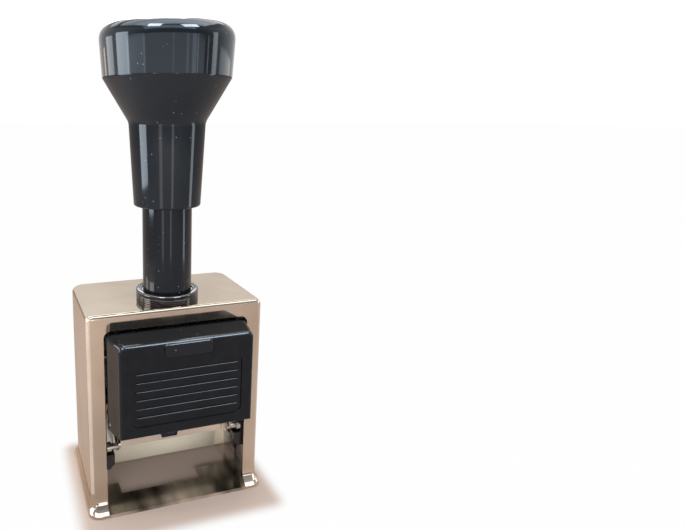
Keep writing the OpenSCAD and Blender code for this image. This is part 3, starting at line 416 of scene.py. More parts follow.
# Paler, partly diffuse plating for the rounded corners: a painted highlight along the edges
plating_painted_highlight = Paint("plating_painted_highlight", Metallic=0.88).colour((0.64, 0.58, 0.52), (0.80, 0.75, 0.69), 60)
plating_painted_highlight.gloss(0.05, 0.10, 120).grain(60, 0.1, 0.2, detail=1.0)
lining = Paint("plating_inside", IOR=1.6).colour((0.74, 0.70, 0.61), (0.88, 0.84, 0.75), 40)
lining.gloss(0.28, 0.40, 150).grain(40, 0.1, 0.2, detail=1.0)
satin_steel = Paint("satin_steel", Metallic=1.0).colour((0.50, 0.47, 0.43), (0.62, 0.58, 0.53), 60)
satin_steel.gloss(0.14, 0.22, 150, (1, 4, 4)).grain(120, 0.05, 0.03, (1, 4, 4))
tray_steel = Paint("tray_steel", Metallic=1.0).colour((0.60, 0.56, 0.51), (0.84, 0.80, 0.74), 50)
tray_steel.gloss(0.12, 0.30, 40).grain(120, 0.05, 0.05, detail=1.0)
# The base plate's front is darker: a painted reflection of the shaded parts above it
base_steel = Paint("base_steel", Metallic=1.0).stain(
    (0.10, 0.095, 0.09), (0.88, 0.84, 0.78), 110, (1, 0.3, 1), (0.0, 0.008))
base_steel.gloss(0.08, 0.20, 40).grain(120, 0.05, 0.05, detail=1.0)
type_metal = Paint("type_metal", Metallic=1.0).colour((0.30, 0.29, 0.27), (0.46, 0.44, 0.41), 260)
type_metal.gloss(0.28, 0.42, 600).grain(1500, 0.2, 0.03)
spring_steel = Paint("spring_steel", Metallic=1.0).colour((0.34, 0.34, 0.33), (0.48, 0.47, 0.46), 300)
spring_steel.gloss(0.22, 0.34, 500).grain(1800, 0.15, 0.02)
bush_brass = Paint("bush_brass", Metallic=1.0).colour((0.30, 0.22, 0.10), (0.38, 0.28, 0.14), 150)
bush_brass.gloss(0.2, 0.32, 500).grain(1200, 0.15, 0.02)

# Blacks: some have a cool tint painted into their reflections, and the glossy ones carry pale dust
PAINTED_COOL_TINT = (0.72, 0.86, 1.0, 1.0)
PALE_DUST = {"scale": 60, "spacing": 0.0025, "size": 0.046, "speck": (0.20, 0.21, 0.22)}
SOFT_BLACK = ((0.006, 0.006, 0.007), (0.012, 0.012, 0.014))
black_gloss = Paint("black_gloss", IOR=1.41, Specular_Tint=PAINTED_COOL_TINT).dust(
    (0.004, 0.005, 0.007), (0.008, 0.009, 0.012), **PALE_DUST)
black_gloss.gloss(0.05, 0.11, 90).grain(30, 0.10, 0.3, detail=1.0)
grip_black = Paint("grip_black", IOR=1.44, Specular_Tint=PAINTED_COOL_TINT).dust(
    (0.006, 0.008, 0.011), (0.011, 0.014, 0.018), **PALE_DUST)
grip_black.gloss(0.05, 0.11, 90).grain(30, 0.10, 0.3, detail=1.0)
black_grained = Paint("black_grained", IOR=1.36, Specular_Tint=PAINTED_COOL_TINT).colour(
    (0.003, 0.003, 0.004), (0.006, 0.007, 0.009), 300)
black_grained.gloss(0.16, 0.24, 700).grain(1500, 0.22, 0.04)
black_satin = Paint("black_satin", IOR=1.45).colour(*SOFT_BLACK, 200)
black_satin.gloss(0.22, 0.34, 500).grain(1200, 0.12, 0.03)
collar_black = Paint("collar_black", IOR=1.65).colour(*SOFT_BLACK, 200)
collar_black.gloss(0.06, 0.12, 300).grain(200, 0.05, 0.05)

# Rubber and felt
stop_rubber = Paint("stop_rubber", IOR=1.5).colour((0.018, 0.018, 0.018), (0.03, 0.03, 0.03), 300)
stop_rubber.gloss(0.7, 0.85, 400).grain(1500, 0.3, 0.05)
ink_felt = Paint("ink_felt", IOR=1.4).colour((0.010, 0.010, 0.022), (0.03, 0.03, 0.05), 900)
ink_felt.gloss(0.75, 0.95, 600).grain(2600, 0.8, 0.12, detail=5.0)

PAINTS = {
    "chrome_shell": plating, "satin_steel": satin_steel, "black_gloss": black_gloss,
    "black_satin": black_satin, "type_metal": type_metal, "bush_brass": bush_brass,
    "stop_rubber": stop_rubber, "ink_felt": ink_felt, "spring_steel": spring_steel,
}
OWN_PAINTS = {"base_plate": base_steel, "ink_carrier": tray_steel}
for entry in frame["record"]["subparts"]:
    paint = OWN_PAINTS.get(entry["node"], PAINTS[entry["material_slot"]])
    materials = frame["nodes"][entry["node"]].data.materials
    materials.clear()
    materials.append(paint.material)


# Housing: a drawn shell with rounded edges, a flared foot and a window through its front
CORNER_STEPS, FLARE_STEPS, EDGE_STEPS = 8, 10, 9
# Rings of the brim's rounded rim: how far each steps in, and its height
BRIM_RINGS = ((0.25, 0.0), (0.07, 0.07), (0.0, 0.25), (0.0, 0.75), (0.07, 0.93), (0.2, BRIM_T))
WALL_HEIGHTS = (7.0, 30.0, 55.0)
# Share of the wall by which the tight front radii shrink on the inside
FRONT_SHRINK = 0.9
# Share of the top edges' radii by which the corners tighten on the way to the top
CORNER_SHRINK = 0.85
# Faces above the flare that turn at least this far both ways are the corners, which take a paler plating as
# a painted highlight
FLARE_TOP, CORNER_TURN = 8.0, 0.3
# Faces that lie within the inner walls, by this margin, are the lining
LINING_MARGIN = 0.05


def plan_ring(half_w, front, rear, front_r, rear_r, heights):
    """Rounded rectangle whose side, front and rear edges each lie at their own height."""
    side_z, front_z, rear_z = heights
    corners = (
        (-half_w + front_r, front + front_r, front_r, 180),
        (half_w - front_r, front + front_r, front_r, 270),
        (half_w - rear_r, rear - rear_r, rear_r, 0),
        (-half_w + rear_r, rear - rear_r, rear_r, 90),
    )
    ring = []
    for x, y, r, start in corners:
        for i in range(CORNER_STEPS + 1):
            a = math.radians(start + 90 * i / CORNER_STEPS)
            side = math.cos(a) ** 2
            end_z = front_z if math.sin(a) < 0 else rear_z
            ring.append((x + r * math.cos(a), y + r * math.sin(a), side * side_z + (1 - side) * end_z))
    return ring


def foot_rings(half_w, half_d, front_corner, rear_corner):
    """Rings of the brim's rim and of the flare from the brim up to the wall."""
    rings = []
    edge_w, edge_d = half_w + BRIM_SIDE, half_d + BRIM_FRONT
    for step_in, z in BRIM_RINGS:
        rings.append(plan_ring(
            edge_w - step_in, -edge_d + step_in, edge_d - step_in, BRIM_CORNER_R, BRIM_CORNER_R, (z, z, z)))
    side_end = math.acos(1 - BRIM_SIDE / BRIM_FLARE_R)
    front_end = math.acos(1 - BRIM_FRONT / BRIM_FLARE_R)
    for i in range(1, FLARE_STEPS + 1):
        u = i / FLARE_STEPS
        s, f = side_end * (1 - u), front_end * (1 - u)
        out_w = BRIM_FLARE_R * (1 - math.cos(s))
        out_d = BRIM_FLARE_R * (1 - math.cos(f))
        side_z = BRIM_T + BRIM_FLARE_R * (math.sin(side_end) - math.sin(s))
        front_z = BRIM_T + BRIM_FLARE_R * (math.sin(front_end) - math.sin(f))
        blend_front = BRIM_CORNER_R + (front_corner - BRIM_CORNER_R) * u
        blend_rear = BRIM_CORNER_R + (rear_corner - BRIM_CORNER_R) * u
        rings.append(plan_ring(
            half_w + out_w, -half_d - out_d, half_d + out_d, blend_front, blend_rear,
            (side_z, front_z, front_z)))
    return rings


def shell_rings(inset, foot):
    """Rings of the shell from its foot to its top face, drawn in by inset."""
    half_w = HOUSING_W / 2 - inset
    half_d = HOUSING_D / 2 - inset
    top = HOUSING_H - inset
    side_r = SIDE_EDGE_R - inset
    front_r = FRONT_EDGE_R - inset * FRONT_SHRINK
    rear_r = REAR_EDGE_R - inset
    front_corner = FRONT_CORNER_R - inset * FRONT_SHRINK
    rear_corner = REAR_CORNER_R - inset
    if foot:
        rings = foot_rings(half_w, half_d, front_corner, rear_corner)
        heights = WALL_HEIGHTS
    else:
        rings = []
        heights = (0.0, *WALL_HEIGHTS)
    for z in heights:
        rings.append(plan_ring(half_w, -half_d, half_d, front_corner, rear_corner, (z, z, z)))
    for i in range(EDGE_STEPS + 1):
        a = math.radians(90 * i / EDGE_STEPS)
        out, down = 1 - math.cos(a), 1 - math.sin(a)
        rings.append(plan_ring(
            half_w - side_r * out, -half_d + front_r * out, half_d - rear_r * out,
            front_corner - CORNER_SHRINK * front_r * out, rear_corner - CORNER_SHRINK * rear_r * out,
            (top - side_r * down, top - front_r * down, top - rear_r * down)))
    return rings


def hole_ring(ring, z):
    """Circle round the tube with one point towards each point of a ring."""
    circle = []
    for x, y, _ in ring:
        away = Vector((x, y - GRIP_AXIS_Y)).normalized() * (TUBE_R + SEAT_GAP)
        circle.append((away.x, GRIP_AXIS_Y + away.y, z))
    return circle


outside = shell_rings(0.0, True)
inside = shell_rings(SHELL_WALL, False)
tube_hole = [hole_ring(outside[-1], HOUSING_H), hole_ring(inside[-1], HOUSING_H - SHELL_WALL)]
shell = Shape()
shell.loft(outside + tube_hole + inside[::-1], ends_meet=True)
window = Shape()
window.prism(
    rounded_box(-WINDOW_HALF, -OVERCUT, WINDOW_HALF, WINDOW_TOP, 0, WINDOW_R),
    -HOUSING_D, -HOUSING_D / 2 + SHELL_WALL + OVERCUT)
rivet_holes = round_bar(RIVET_Y, RIVET_Z, RIVET_R + PIN_GAP, HOUSING_W)
skin = shell.object("housing_shell")
carve(skin, window, rivet_holes)
ease(skin, SHELL_EASE)
inner = Vector((HOUSING_W / 2, HOUSING_D / 2)) - Vector((1, 1)) * (SHELL_WALL - LINING_MARGIN)
inner_top = HOUSING_H - SHELL_WALL + 2 * LINING_MARGIN
for polygon in skin.data.polygons:
    x, y, z = polygon.center / MM
    within = abs(x) < inner.x and abs(y - HOUSING_Y) < inner.y and z < inner_top
    corner = min(abs(polygon.normal.x), abs(polygon.normal.y)) > CORNER_TURN and z > FLARE_TOP
    polygon.material_index = 1 if within else 2 if corner else 0
fix(skin, "frame", [plating, lining, plating_painted_highlight], ["housing"])

# Grip: one turned piece, bored for the tube and the rod's insert
grip = Shape()
grip.turned(
    rounded([
        (GRIP_BORE_R, GRIP_LOW.z, FINE_EDGE_R),
        (GRIP_FOOT_R, GRIP_LOW.z, GRIP_FOOT_EDGE_R),
        (GRIP_NECK_R, GRIP_NECK_Z, GRIP_HOLLOW_R),
        (GRIP_CONE_R, GRIP_CONE_Z, GRIP_SHOULDER_R),
        (GRIP_TOP_R, GRIP_BAND_Z, 0),
        (GRIP_TOP_R, GRIP_EDGE_Z, GRIP_EDGE_R),
        (GRIP_CROWN_R, GRIP_CROWN_Z, GRIP_TOP_R),
        (AXIS_R, GRIP_HIGH.z, 0),
        (AXIS_R, INSERT_TOP, 0),
        (INSERT_R, INSERT_TOP, 0),
        (INSERT_R, INSERT_LOW.z, 0),
        (GRIP_BORE_R, INSERT_LOW.z, 0),
    ], 10),
    (0, GRIP_AXIS_Y))
hand_grip = fix(grip.object("hand_grip"), "carriage", [grip_black], ["grip"], sharp=25)

# Guide tube with its flange and its inner spring seat
tube = Shape()
tube.turned(
    rounded([
        (ROD_BORE_R, TUBE_LOW.z, 0),
        (TUBE_HIGH.x, TUBE_LOW.z, FINE_EDGE_R),
        (TUBE_HIGH.x, FLANGE_TOP, FINE_EDGE_R),
        (TUBE_R, FLANGE_TOP, 0),
        (TUBE_R, TUBE_HIGH.z, TUBE_EDGE_R),
        (TUBE_BORE_R, TUBE_HIGH.z, FINE_EDGE_R),
        (TUBE_BORE_R, SPRING_SEAT, 0),
        (ROD_BORE_R, SPRING_SEAT, 0),
    ], 4),
    (0, GRIP_AXIS_Y), steps=96)
guide_post = fix(tube.object("guide_post"), "frame", [black_gloss], ["guide_tube"])

# Collar nut: fine rings low on its edge, a rounded rim and a stepped bevel down to the tube
COLLAR_FOOT_IN, COLLAR_RINGS, RING_FOOT, RING_PITCH, RING_FLAT, RING_SLOPE = 0.15, 3, 0.15, 0.55, 0.33, 0.11
RING_IN, GROOVE_IN = 0.04, 0.2
# Corners of the bevel: gap from the tube, depth below the top and rounding
COLLAR_BEVEL = ((1.15, 0.0, 0), (0.95, 0.32, 0.08), (0.6, 0.3, 0.1), (0.45, 0.75, 0.06), (SEAT_GAP, 0.8, 0))
collar_line = [(TUBE_R + SEAT_GAP, HOUSING_H), (COLLAR_R - COLLAR_FOOT_IN, HOUSING_H)]
for k in range(COLLAR_RINGS):
    z = HOUSING_H + RING_FOOT + k * RING_PITCH
    collar_line += [
        (COLLAR_R - RING_IN, z), (COLLAR_R - RING_IN, z + RING_FLAT),
        (COLLAR_R - GROOVE_IN, z + RING_FLAT + RING_SLOPE),
    ]
for turn in range(0, 91, 15):
    a = math.radians(turn)
    collar_line.append((
        COLLAR_R - COLLAR_RIM_R * (1 - math.cos(a)), COLLAR_TOP - COLLAR_RIM_R * (1 - math.sin(a))))
collar_line += rounded([(TUBE_R + gap, COLLAR_TOP - depth, r) for gap, depth, r in COLLAR_BEVEL], 4)
collar = Shape()
collar.turned(collar_line, (0, GRIP_AXIS_Y), steps=96)
collar_ring = fix(collar.object("collar_ring"), "frame", [collar_black], ["collar_nut"])

# Front cover: a drafted, hollow moulding with a sunk ribbed panel and a finger tab
COVER_STEPS = 7
# Faces that look this straight to the front take the grained black
FACING_FRONT = 0.97
# Rings of a rib: how far each steps in, and its depth behind the face
RIB_RINGS = ((0.0, 0.55), (0.0, 0.13), (0.06, 0.04), (0.15, 0.0))
# Rings of the tab: how far each steps in, how far its top drops, and its depth behind the face
TAB_RINGS = ((0.0, 0.9, 1.4), (0.0, 0.0, -0.1), (0.15, 0.0, -0.5), (0.35, 0.0, -0.72), (0.6, 0.0, -TAB_OUT))


def cover_ring(inset, below, depth, eased):
    """Rounded rectangle across the cover; without a depth, each edge is eased by its own radius."""
    out, back = 1 - math.cos(eased), 1 - math.sin(eased)
    radii = [max(r - inset, COVER_LIP_R) for r in (COVER_SIDE_R, COVER_EDGE_R, COVER_LIP_R)]
    if depth is None:
        depths = [RIM_Y - FACE_Y - inset - r * back for r in radii]
    else:
        depths = [depth] * 3
    shares = [d / (RIM_Y - FACE_Y) for d in depths]
    half = RIM_HALF + (FACE_HALF - RIM_HALF) * shares[0] - inset - radii[0] * out
    high = COVER_TOP + (FACE_TOP - COVER_TOP) * shares[1] - inset - radii[1] * out
    low = COVER_LOW + (FACE_LOW - COVER_LOW) * shares[2] + inset - below + radii[2] * out
    top_r = max(COVER_TOP_R - inset - radii[1] * out, COVER_LEAST_TOP_R)
    foot_r = COVER_FOOT_R
    corners = (
        (-half + foot_r, low + foot_r, foot_r, 180, 2), (half - foot_r, low + foot_r, foot_r, 270, 2),
        (half - top_r, high - top_r, top_r, 0, 1), (-half + top_r, high - top_r, top_r, 90, 1),
    )
    ring = []
    for x, z, r, start, end in corners:
        for i in range(CORNER_STEPS + 1):
            a = math.radians(start + 90 * i / CORNER_STEPS)
            side = math.cos(a) ** 2
            y = RIM_Y - side * depths[0] - (1 - side) * depths[end]
            ring.append((x + r * math.cos(a), y, z + r * math.sin(a)))
    return ring


def cover_rings(inset, start, below):
    """Rings from a start near the rim to the eased front edges."""
    rings = [cover_ring(inset, below, start, 0.0)]
    for i in range(COVER_STEPS + 1):
        rings.append(cover_ring(inset, below, None, math.radians(90 * i / COVER_STEPS)))
    return rings


def face_ring(outline, depth):
    """Outline drawn at a depth behind the cover's face."""
    return [(x, FACE_Y + depth, z) for x, z in outline]


moulding = Shape()
moulding.loft(cover_rings(0.0, 0.0, 0.0))
hollow = Shape()
hollow.loft(cover_rings(COVER_WALL, -OVERCUT, COVER_OPEN_BELOW))
panel = Shape()
panel.prism(
    rounded_box(-PANEL_HALF, PANEL_LOW, PANEL_HALF, PANEL_TOP, PANEL_R, PANEL_R),
    FACE_Y - OVERCUT, FACE_Y + PANEL_DEPTH)
hinge_holes = round_bar(HINGE_Y, HINGE_Z, PIN_R + PIN_GAP, RIM_HALF + OVERCUT, 32)
cover = moulding.object("cover_moulding")
carve(cover, hollow, panel, hinge_holes)
ease(cover, COVER_EASE)
for polygon in cover.data.polygons:
    polygon.material_index = 1 if polygon.normal.y < -FACING_FRONT else 0
relief = Shape()
for k in range(1, RIBS + 1):
    z = PANEL_LOW + k * (PANEL_TOP - PANEL_LOW) / (RIBS + 1)
    rib_rings = []
    for step_in, depth in RIB_RINGS:
        half, rise = PANEL_HALF - RIB_END - step_in, RIB_HALF - step_in
        rib_rings.append(face_ring(rounded_box(-half, z - rise, half, z + rise, RIB_R, RIB_R, 4), depth))
    relief.loft(rib_rings)
tab_rings = []
for step_in, drop, depth in TAB_RINGS:
    half = TAB_HALF - step_in
    outline = rounded_box(-half, TAB_LOW + step_in, half, TAB_TOP - step_in - drop, TAB_R, TAB_R, 6)
    tab_rings.append(face_ring(outline, depth))
relief.loft(tab_rings)
added = relief.object("cover_relief")
for polygon in added.data.polygons:
    polygon.material_index = 1 if polygon.center.z / MM < PANEL_TOP else 0
joined = bmesh.new()
joined.from_mesh(cover.data)
joined.from_mesh(added.data)
joined.to_mesh(cover.data)
joined.free()
bpy.data.objects.remove(added)
fix(cover, "cover", [black_gloss, black_grained], ["front_cover"])


# Number wheels: each has ten raised, mirrored figures and a ratchet ring
def figure(character):
    """Points and faces of one figure, with its middle at the origin and heights from 0 to 1."""
    half_rise = 0.5
    curve = bpy.data.curves.new("figure", "FONT")
    curve.body = character
    curve.size = FIGURE_SIZE
    curve.extrude = half_rise
    curve.resolution_u = 3
    curve.align_x = "CENTER"
    holder = bpy.data.objects.new("figure", curve)
    bpy.context.scene.collection.objects.link(holder)
    graph = bpy.context.evaluated_depsgraph_get()
    graph.update()
    data = bpy.data.meshes.new_from_object(holder.evaluated_get(graph))
    points = [v.co.copy() for v in data.vertices]
    faces = [tuple(p.vertices) for p in data.polygons]
    bpy.data.objects.remove(holder)
    bpy.data.curves.remove(curve)
    bpy.data.meshes.remove(data)
    middle_x = (min(p.x for p in points) + max(p.x for p in points)) / 2
    middle_y = (min(p.y for p in points) + max(p.y for p in points)) / 2
    return [(p.x - middle_x, p.y - middle_y, p.z + half_rise) for p in points], faces


FIGURES = [figure(str(k)) for k in range(FIGURES_ROUND)]
FIGURE_STEP = 2 * math.pi / FIGURES_ROUND


def on_wheel(x, radius, turn):
    """Point on a wheel, turned from the side of the paper."""
    return (x, AXLE_Y + radius * math.sin(turn), AXLE_Z - radius * math.cos(turn))


def wheel_shape(number, left, right):
    """Drum, ratchet ring and figures of a wheel; the figure of its own number is at the paper."""
    wheel = Shape()
    drum = rounded_box(AXLE_BORE, left, DRUM_R, left + DRUM_W, DRUM_EDGE_R, DRUM_EDGE_R, 2)
    wheel.turned(drum, (AXLE_Y, AXLE_Z), axis="x", steps=80)
    teeth = []
    bore = []
    for k in range(FIGURES_ROUND):
        for r, turn in ((RATCHET_R, 0), (RATCHET_R - RATCHET_DEPTH, TOOTH_TURN)):
            a = k * FIGURE_STEP + math.radians(turn)
            teeth.append((AXLE_Y + r * math.cos(a), AXLE_Z + r * math.sin(a)))
            bore.append((AXLE_Y + AXLE_BORE * math.cos(a), AXLE_Z + AXLE_BORE * math.sin(a)))
    seat = left + DRUM_W - RATCHET_SEAT
    sections = ((seat, bore), (seat, teeth), (right, teeth), (right, bore))
    wheel.loft([[(x, y, z) for y, z in line] for x, line in sections], ends_meet=True)
    root, tip = DRUM_R - FIGURE_ROOT, TYPE_R - FIGURE_CLEAR
    middle = left + DRUM_W / 2
    for k, (points, faces) in enumerate(FIGURES):
        start = (k - number) * FIGURE_STEP
        wheel.add([
            on_wheel(middle + x * FIGURE_WIDTH, root + z * (tip - root), start + y / TYPE_R)
            for x, y, z in points
        ], faces)
    return wheel


for number in range(1, WHEELS + 1):
    low, high = span(f"number_wheel_{number}")
    wheel = wheel_shape(number, low.x, high.x).object(f"figure_wheel_{number}")
    fix(wheel, f"wheel_{number}", [type_metal], [f"number_wheel_{number}"])


# Ink pad: felt with a low crown, a faint ripple and soft edges
def felt_point(i, j):
    """Point of the felt's top in a column and a row."""
    u, v = 2 * i / PAD_COLUMNS - 1, 2 * j / PAD_ROWS - 1
    rim = max(abs(u) ** PAD_END_POWER, abs(v) ** PAD_SIDE_POWER)
    ripple = PAD_RIPPLE * math.prod(math.sin(i * p + j * q) for p, q in PAD_WAVES)
    z = PAD_HIGH.z - PAD_SKIN - PAD_EDGE_DROP * rim - PAD_CROWN * v * v + ripple * (1 - rim)
    y = (PAD_LOW.y + PAD_HIGH.y) / 2 + v * (PAD_HIGH.y - PAD_LOW.y) / 2
    return (u * PAD_HIGH.x, y, min(z, PAD_HIGH.z))


top_points = [felt_point(i, j) for j in range(PAD_ROWS + 1) for i in range(PAD_COLUMNS + 1)]
low_points = [(x, y, PAD_LOW.z + SEAT_GAP) for x, y, _ in top_points]
under = len(top_points)
row = PAD_COLUMNS + 1
pad_faces = []
for j in range(PAD_ROWS):
    for i in range(PAD_COLUMNS):
        a = j * row + i
        square = (a, a + 1, a + 1 + row, a + row)
        pad_faces.append(square)
        pad_faces.append(tuple(under + k for k in square[::-1]))
border = list(range(PAD_COLUMNS))
border += [j * row + PAD_COLUMNS for j in range(PAD_ROWS)]
border += [PAD_ROWS * row + i for i in range(PAD_COLUMNS, 0, -1)]
border += [j * row for j in range(PAD_ROWS, 0, -1)]
for a, b in zip(border, border[1:] + border[:1]):
    pad_faces.append((a, under + a, under + b, b))
pad = Shape()
pad.add(top_points + low_points, pad_faces)
felt_pad = fix(pad.object("felt_pad"), "pad_carrier", [ink_felt], ["ink_pad"], sharp=60)

# Return spring inside the tube, closed at both ends
TURN_STEPS, WIRE_SIDES = 24, 10


def spring_height(turns):
    """Height of the wire's middle after a number of turns."""
    low, high = SPRING_LOW + SPRING_WIRE / 2, SPRING_HIGH - SPRING_WIRE / 2
    if turns < 1:
        return low + CLOSED_PITCH * turns
    if turns > SPRING_TURNS - 1:
        return high - CLOSED_PITCH * (SPRING_TURNS - turns)
    return low + CLOSED_PITCH + (high - low - 2 * CLOSED_PITCH) * (turns - 1) / (SPRING_TURNS - 2)


wire_rings = []
for i in range(SPRING_TURNS * TURN_STEPS + 1):
    a = 2 * math.pi * i / TURN_STEPS
    ring = []
    for j in range(WIRE_SIDES):
        b = 2 * math.pi * j / WIRE_SIDES
        r = SPRING_R + SPRING_WIRE / 2 * math.cos(b)
        z = spring_height(i / TURN_STEPS) + SPRING_WIRE / 2 * math.sin(b)
        ring.append((r * math.cos(a), GRIP_AXIS_Y + r * math.sin(a), z))
    wire_rings.append(ring)
spring = Shape()
spring.loft(wire_rings)
coil = fix(spring.object("spring_coil"), "frame", [spring_steel], ["return_spring"])
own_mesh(coil)

# Camera, as far off and as high as the photograph's
CAMERA_AT, CAMERA_AIM = (-48.07, -163.26, 122.06), (1.39, -0.2, 85.96)
camera = bpy.data.objects.new("camera", bpy.data.cameras.new("camera"))
bpy.context.scene.collection.objects.link(camera)
camera.location = place(CAMERA_AT)
camera.rotation_euler = (place(CAMERA_AIM) - place(CAMERA_AT)).to_track_quat("-Z", "Y").to_euler()
camera.data.sensor_width = 36.0
camera.data.lens = 28.40
camera.data.shift_x = 0.2568
camera.data.shift_y = -0.0533
camera.data.clip_start, camera.data.clip_end = 0.01, 50.0
bpy.context.scene.camera = camera


# Floor, world and lamps, in metres
def add_node(tree, kind, operation=None, inputs=(), **settings):
    """Shader node with its inputs linked from outputs or set to values."""
    made = tree.nodes.new(kind)
    if operation:
        made.operation = operation
    for name, value in settings.items():
        setattr(made, name, value)
    for key, value in inputs:
        if isinstance(value, bpy.types.NodeSocket):
            tree.links.new(value, made.inputs[key])
        else:
            made.inputs[key].default_value = value
    return made


def seen_rays(tree, glossy_share=1.0):
    """One for rays from the camera and through clear surfaces, and a share for glossy ones."""
    rays = add_node(tree, "ShaderNodeLightPath")
    mirrored = add_node(tree, "ShaderNodeMath", "MULTIPLY", (
        (0, rays.outputs["Is Glossy Ray"]), (1, glossy_share))).outputs[0]
    first = add_node(tree, "ShaderNodeMath", "MAXIMUM", (
        (0, rays.outputs["Is Camera Ray"]), (1, mirrored))).outputs[0]
    return add_node(tree, "ShaderNodeMath", "MAXIMUM", (
        (0, first), (1, rays.outputs["Is Transmission Ray"]))).outputs[0]


# Half sizes of the floor's pale ground under the stamp, and the reach of the floor
PALE_HALF = (0.028, 0.022, 0)
FLOOR_REACH = 6.0


def floor_material():
    """Pale tan under the stamp and white further off."""
    material = bpy.data.materials.new("floor")
    material.use_nodes = True
    tree = material.node_tree
    tree.nodes.clear()
    spot = add_node(tree, "ShaderNodeNewGeometry").outputs["Position"]
    away = add_node(tree, "ShaderNodeVectorMath", "ABSOLUTE", ((0, spot),)).outputs[0]
    past = add_node(tree, "ShaderNodeVectorMath", "SUBTRACT", ((0, away), (1, PALE_HALF))).outputs[0]
    beyond = add_node(tree, "ShaderNodeVectorMath", "MAXIMUM", ((0, past), (1, (0, 0, 0)))).outputs[0]
    far = add_node(tree, "ShaderNodeVectorMath", "LENGTH", ((0, beyond),)).outputs["Value"]
    clear = add_node(tree, "ShaderNodeMapRange", None, (
        ("Value", far), ("From Min", 0.0), ("From Max", 0.0075), ("To Min", 0.0), ("To Max", 0.985)),
        interpolation_type="SMOOTHERSTEP").outputs["Result"]
    share = add_node(tree, "ShaderNodeMath", "MULTIPLY", ((0, seen_rays(tree, 0.1)), (1, clear))).outputs[0]
    matte = add_node(tree, "ShaderNodeBsdfDiffuse", None, (("Color", (0.56, 0.455, 0.395, 1)),)).outputs[0]
    white = add_node(tree, "ShaderNodeEmission", None, (("Color", (1, 1, 1, 1)),)).outputs[0]
    mixed = add_node(tree, "ShaderNodeMixShader", None, (("Fac", share), (1, matte), (2, white))).outputs[0]
    add_node(tree, "ShaderNodeOutputMaterial", None, (("Surface", mixed),))
    return material


def studio_world():
    """White to the camera; mirrored, it is greyer in front of the stamp and above it."""
    world = bpy.data.worlds.new("studio")
    world.use_nodes = True
    tree = world.node_tree
    tree.nodes.clear()
    spot = add_node(tree, "ShaderNodeTexCoord").outputs["Generated"]
    way = add_node(tree, "ShaderNodeSeparateXYZ", None, ((0, spot),))
    back, up = way.outputs["Y"], way.outputs["Z"]
    rise = add_node(tree, "ShaderNodeMath", "ADD", ((0, back), (1, up))).outputs[0]
    room = add_node(tree, "ShaderNodeMapRange", None, (
        ("Value", rise), ("From Min", -0.7), ("From Max", 0.3), ("To Min", 0.2), ("To Max", 1.0)),
        interpolation_type="SMOOTHSTEP").outputs["Result"]
    dimmer = add_node(tree, "ShaderNodeMapRange", None, (
        ("Value", up), ("From Min", 0.42), ("From Max", 0.62), ("To Min", 1.0), ("To Max", 0.5)),
        interpolation_type="SMOOTHSTEP").outputs["Result"]
    walls = add_node(tree, "ShaderNodeMath", "MULTIPLY", ((0, room), (1, dimmer))).outputs[0]
    direct = add_node(tree, "ShaderNodeLightPath").outputs["Is Camera Ray"]
    shown = add_node(tree, "ShaderNodeMath", "MAXIMUM", ((0, direct), (1, walls))).outputs[0]
    level = add_node(tree, "ShaderNodeMix", None, ((0, seen_rays(tree)), (2, 0.4), (3, shown))).outputs[0]
    sky = add_node(tree, "ShaderNodeBackground", None, (("Color", (1, 1, 1, 1)), ("Strength", level)))
    add_node(tree, "ShaderNodeOutputWorld", None, (("Surface", sky.outputs[0]),))
    return world


floor = bpy.data.objects.new("floor", bpy.data.meshes.new("floor"))
floor_corners = [(x * FLOOR_REACH, y * FLOOR_REACH, 0) for x, y in ((-1, -1), (1, -1), (1, 1), (-1, 1))]
floor.data.from_pydata(floor_corners, [], [(0, 1, 2, 3)])
floor.data.materials.append(floor_material())
bpy.context.scene.collection.objects.link(floor)
bpy.context.scene.world = studio_world()

card_targets = bpy.data.collections.new("card_targets")
for piece in (hand_grip, guide_post, collar_ring, cover):
    card_targets.objects.link(piece)


def lamp(name, at, towards, width, height, power, colour=(1, 1, 1), card=False, fill=False):
    """A soft panel; a card is only seen mirrored in the black pieces, and a fill only lights."""
    data = bpy.data.lights.new(name, "AREA")
    data.shape = "RECTANGLE"
    data.size, data.size_y = width, height
    data.energy = power
    data.color = colour
    obj = bpy.data.objects.new(name, data)
    obj.location = at
    obj.rotation_euler = (Vector(towards) - Vector(at)).to_track_quat("-Z", "Y").to_euler()
    obj.visible_camera = False
    obj.visible_diffuse = not card
    obj.visible_glossy = not fill
    if card:
        obj.light_linking.receiver_collection = card_targets
    bpy.context.scene.collection.objects.link(obj)


# Panels round the housing and in front of the grip's band
GRIP_SIDE = (0, 0, 0.10)
lamp("strip_left", (-0.29, 0.015, 0.12), (0, 0, 0.12), 0.13, 0.16, 0.50)
lamp("strip_warm", (-0.176, -0.243, 0.05), (0, 0, 0.05), 0.05, 0.10, 0.03, (1.0, 0.8, 0.78))
lamp("strip_front", (0.0, -0.30, 0.05), (0, 0, 0.05), 0.03, 0.10, 0.02)
lamp("strip_right", (0.265, -0.118, 0.10), GRIP_SIDE, 0.05, 0.20, 0.12)
lamp("band_front", (-0.10, -0.50, 0.122), (-0.10, 0, 0.122), 1.25, 0.077, 0.36)

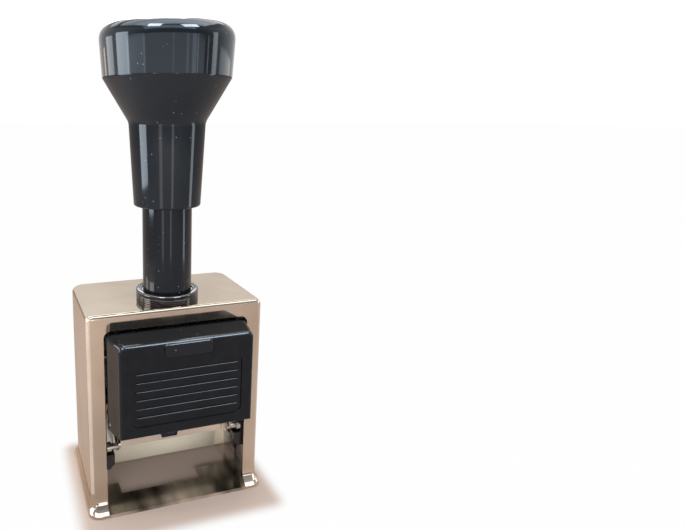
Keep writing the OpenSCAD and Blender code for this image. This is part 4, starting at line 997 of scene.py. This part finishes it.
# Narrow cards round the grip: turn in degrees, width, brightness and colour
STREAK_REACH, STREAK_Z, STREAK_HEIGHT = 0.34, 0.127, 0.055
STREAKS = (
    (-7, 0.008, 2.0, (1.0, 0.6, 0.55)),
    (16, 0.02, 1.2, (1.0, 0.9, 0.88)),
    (27, 0.04, 1.5, (1, 1, 1)),
    (33, 0.005, 5.0, (1, 1, 1)),
    (52, 0.007, 4.0, (1, 1, 1)),
)
for k, (turn, width, brightness, tint) in enumerate(STREAKS):
    a = math.radians(turn)
    at = (STREAK_REACH * math.sin(a), -STREAK_REACH * math.cos(a), STREAK_Z)
    power = brightness * math.pi * width * STREAK_HEIGHT
    lamp(f"band_streak_{k + 1}", at, (0, 0, STREAK_Z), width, STREAK_HEIGHT, power, tint, card=True)

# Panels beside the grip, windows and ceiling
lamp("band_left", (-0.25, 0.17, 0.135), (0, 0, 0.135), 0.10, 0.07, 0.08)
lamp("band_warm", (-0.176, 0.243, 0.135), (0, 0, 0.135), 0.03, 0.05, 0.016, (1.0, 0.62, 0.42), card=True)
lamp("band_side", (-0.30, -0.12, 0.132), (0, 0, 0.132), 0.19, 0.04, 0.05)
lamp("band_right", (0.30, 0.04, 0.132), (0, 0, 0.132), 0.20, 0.04, 0.035)
lamp("front_fill", (-0.15, -0.75, 0.24), (0, 0, 0.02), 0.90, 0.26, 4.2, fill=True)
lamp("window_left", (-0.28, -0.33, 0.57), GRIP_SIDE, 0.20, 0.20, 3.6, card=True)
lamp("window_right", (0.20, -0.39, 0.52), GRIP_SIDE, 0.24, 0.16, 3.4, card=True)
lamp("window_back", (0.07, 0.31, 0.61), GRIP_SIDE, 0.26, 0.36, 2.8, card=True)
lamp("window_low", (0.12, 0.50, 0.40), GRIP_SIDE, 0.24, 0.30, 0.8, card=True)
lamp("room_front", (-0.12, -0.60, 0.55), GRIP_SIDE, 1.20, 0.26, 2.4, card=True)
lamp("overhead", (0.0, -0.16, 0.60), GRIP_SIDE, 0.90, 0.26, 1.6)
lamp("ceiling", (0.0, -0.03, 0.62), GRIP_SIDE, 1.00, 0.64, 7.0, card=True)
lamp("back_high", (0.05, 0.50, 0.66), GRIP_SIDE, 1.10, 0.18, 1.6)
bpy.context.scene.view_settings.view_transform = "Standard"
